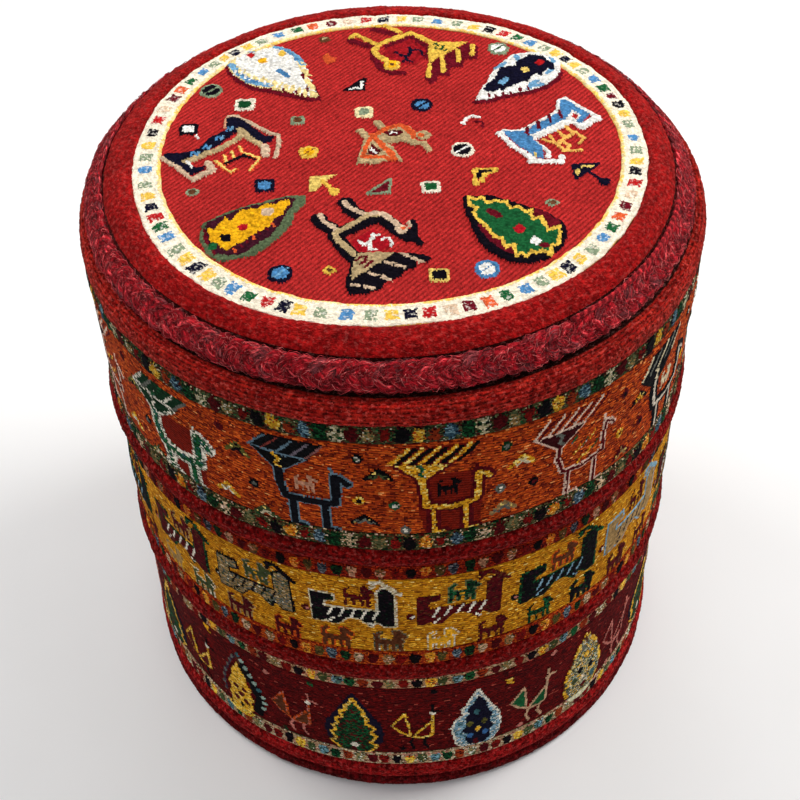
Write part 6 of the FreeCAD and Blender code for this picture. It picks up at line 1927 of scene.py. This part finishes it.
LIN = (lin((176, 150, 116)), [(lin((156, 130, 98)), 0.15), (lin((192, 168, 136)), 0.15)])
MAT_LINING_FACE = mat_cloth("cotton_lining_face", (176, 150, 116), 0.9, contrast=0.14)
ob, length = lathe_piece("lining_wall_cloth", [(166.6, 394.6), (165.9, 393.6), (165.7, 391.5), (166.4, 389.6), (166.5, 388.0), (166.5, 200.0), (166.5, 24.0), (165.9, 19.6)], [(167.7, 19.2), (167.7, 394.6)], 0.0, 2.0, 3.0, LIN, MAT_LINING_FACE, "drum", ("lining_wall",), 166.0, noise=0.03, tuft=0.05, patch=0.05, shape=lining_shape, spread=0.05, pile=0.0)


def floor_shape(Rr, Zz, A):
    pull = smoothstep((Rr - 60) / 100.0)
    return Rr, Zz + pull * (0.35 * np.sin(34 * A) * np.exp(-((Rr - 163) / 14.0) ** 2) + 0.2 * np.sin(9 * A + Rr / 20.0))


ob = disc("lining_floor_cloth", [(0, 18.6), (60, 18.5), (120, 18.5), (158, 18.6), (163, 18.9), (167.2, 19.3)], 0.0, lin((176, 150, 116)), MAT_LINING_FACE, "drum", ("lining_floor",), [(167.6, 18.2), (167.4, 17.1), (90.0, 17.1), (20.0, 17.1)], na=300, shape=floor_shape)


def plug_shape(Rr, Zz, A):
    fold = np.exp(-((Rr - 156) / 9.0) ** 2) * (Zz < 408)
    return Rr, Zz + 0.35 * fold * np.sin(62 * A + 0.8 * np.sin(5 * A)) - 0.25 * np.sin(3 * A + Rr / 30.0) * smoothstep((150 - Rr) / 60.0) * 0.6


ob = disc("lid_plug_cover", [(0, 404.5), (60, 404.5), (120, 404.5), (150, 404.6), (156.2, 404.9), (157.8, 406.0), (158.2, 408.0), (158.2, 413.1)], LID_X, lin((172, 146, 112)), MAT_LINING_FACE, "lid", ("lid_plug_cloth",),
          [(157.2, 413.1), (157.2, 406.8), (155.6, 405.4), (90.0, 405.3), (20.0, 405.3)], na=372, shape=plug_shape)


def gather_shape(k, depth, z0):
    def f(Rg, Zg, A):
        return Rg, Zg - depth * (0.5 + 0.5 * np.sin(k * A + 0.7 * np.sin(7 * A))) * (Zg < z0)
    return f


UNDER = (lin((172, 146, 112)), [(lin((152, 126, 94)), 0.15), (lin((188, 164, 132)), 0.15)])
ob, length = lathe_piece("lid_underside_ring", [(179.1, 414.2), (179.3, 413.7), (178.6, 413.45), (170.0, 413.45), (160.0, 413.45), (157.3, 413.6)], [(157.3, 414.2)], LID_X, 1.6, 1.2, UNDER, MAT_LINING_FACE, "lid", ("lid_underside_cloth",), 170.0, noise=0.02, tuft=0.03, patch=0.04, spread=0.05, pile=0.0)

DARK = (lin((46, 44, 46)), [(lin((34, 33, 35)), 0.2), (lin((62, 60, 62)), 0.12)])
ob, length = lathe_piece("under_strip_cloth", [(190.3, 5.0), (190.3, 4.2), (189.0, 3.9), (180.0, 3.9), (165.0, 3.95), (151.0, 4.0)], [(151.0, 5.0)], 0.0, 1.5, 1.3, (lin((150, 126, 98)), [(lin((130, 106, 80)), 0.2)]), MAT_LINING_FACE, "drum", ("under_strip",), 180.0, noise=0.03, tuft=0.05, patch=0.05, spread=0.06, pile=0.0, shape=gather_shape(96, 0.35, 4.6))


def dust_shape(Rr, Zz, A):
    hem = smoothstep((Rr - 171.5) / 1.2)
    pucker = 0.18 * np.sin(24 * A + math.radians(7.5 * 24)) * np.exp(-((Rr - 160) / 16.0) ** 2)
    sag = 0.12 * np.sin(2 * A + 0.6) * smoothstep((150 - Rr) / 100.0) + 0.1 * np.sin(5 * A + Rr / 22.0)
    return Rr, Zz - 0.3 * hem + pucker + sag


ob = disc("dust_cover_cloth", [(0, 3.25), (60, 3.25), (120, 3.3), (170.5, 3.3), (172.5, 3.3), (177.6, 3.35), (178.0, 3.6)], 0.0, lin((38, 37, 39)), MAT_DUST, "drum", ("dust_cover",), [(177.4, 3.85), (90.0, 3.85), (20.0, 3.85)], na=360, shape=dust_shape)


# ---- seam down the back: whip stitches in maroon thread --------------------------------
def make_back_seam():
    verts, quads, cols, uvs = [], [], [], []
    z = 15.0
    base = 0
    m = 8
    psi = np.linspace(0, 2 * math.pi, m, endpoint=False)
    while z < 401.0:
        n = 9
        t = np.linspace(-1, 1, n)
        lean = rng.normal(1.6, 0.2)
        s = 3.1 * t
        rr = R_seam(z) + 0.9 * (1 - t ** 2) - 0.5
        zz = z + lean * t + rng.normal(0, 0.1)
        ang = math.pi + s / R0
        for q in range(n):
            rad = 0.55 * math.sqrt(max(0.05, 1 - abs(t[q]) ** 4))
            for p in psi:
                r_ = rr[q] + rad * math.cos(p)
                z_ = zz[q] + rad * math.sin(p)
                verts.append((r_ * math.sin(ang[q]), -r_ * math.cos(ang[q]), z_))
                uvs.append((s[q] + 3.0, z + p))
        for q in range(n - 1):
            for i in range(m):
                i2 = (i + 1) % m
                quads.append((base + q * m + i, base + q * m + i2, base + (q + 1) * m + i2, base + (q + 1) * m + i))
                cols.append(lin((118, 20, 34)) * (1 + rng.normal(0, 0.1)))
        quads.append((base, base + 2, base + 4, base + 6))
        cols.append(lin((100, 16, 30)))
        e = base + (n - 1) * m
        quads.append((e, e + 2, e + 4, e + 6))
        cols.append(lin((100, 16, 30)))
        base += n * m
        z += 4.6 + rng.normal(0, 0.25)
    me = build_mesh("back_seam_stitches", np.array(verts) * MM, np.array(quads), np.clip(np.array(cols), 0, 1), np.zeros(len(quads)), np.array(uvs) * MM)
    add("back_seam_stitches", me, MAT_THREAD, "drum")


def R_seam(z):
    for lo, hi in ((12.4, 28.6), (143.2, 161.6), (271.0, 286.6)):
        if lo <= z <= hi:
            return 200.2
    return 198.6


make_back_seam()


def paint(name, mat):
    ob = N[name]
    if not ob.material_slots:
        ob.data.materials.append(mat)
    for s in ob.material_slots:
        s.material = mat


for name in ("base_board", "middle_ring", "top_ring", "lid_board", "lid_plug", "wall_shell"):
    paint(name, MAT_PLY)
for k in range(6):
    paint("upright_%d" % (k + 1), MAT_PINE)
for k in range(4):
    paint("glide_%d" % (k + 1), MAT_GLIDE)
for name in ("glide_nails", "base_staples", "base_screws", "top_ring_screws", "lid_plug_screws"):
    paint(name, MAT_STEEL)
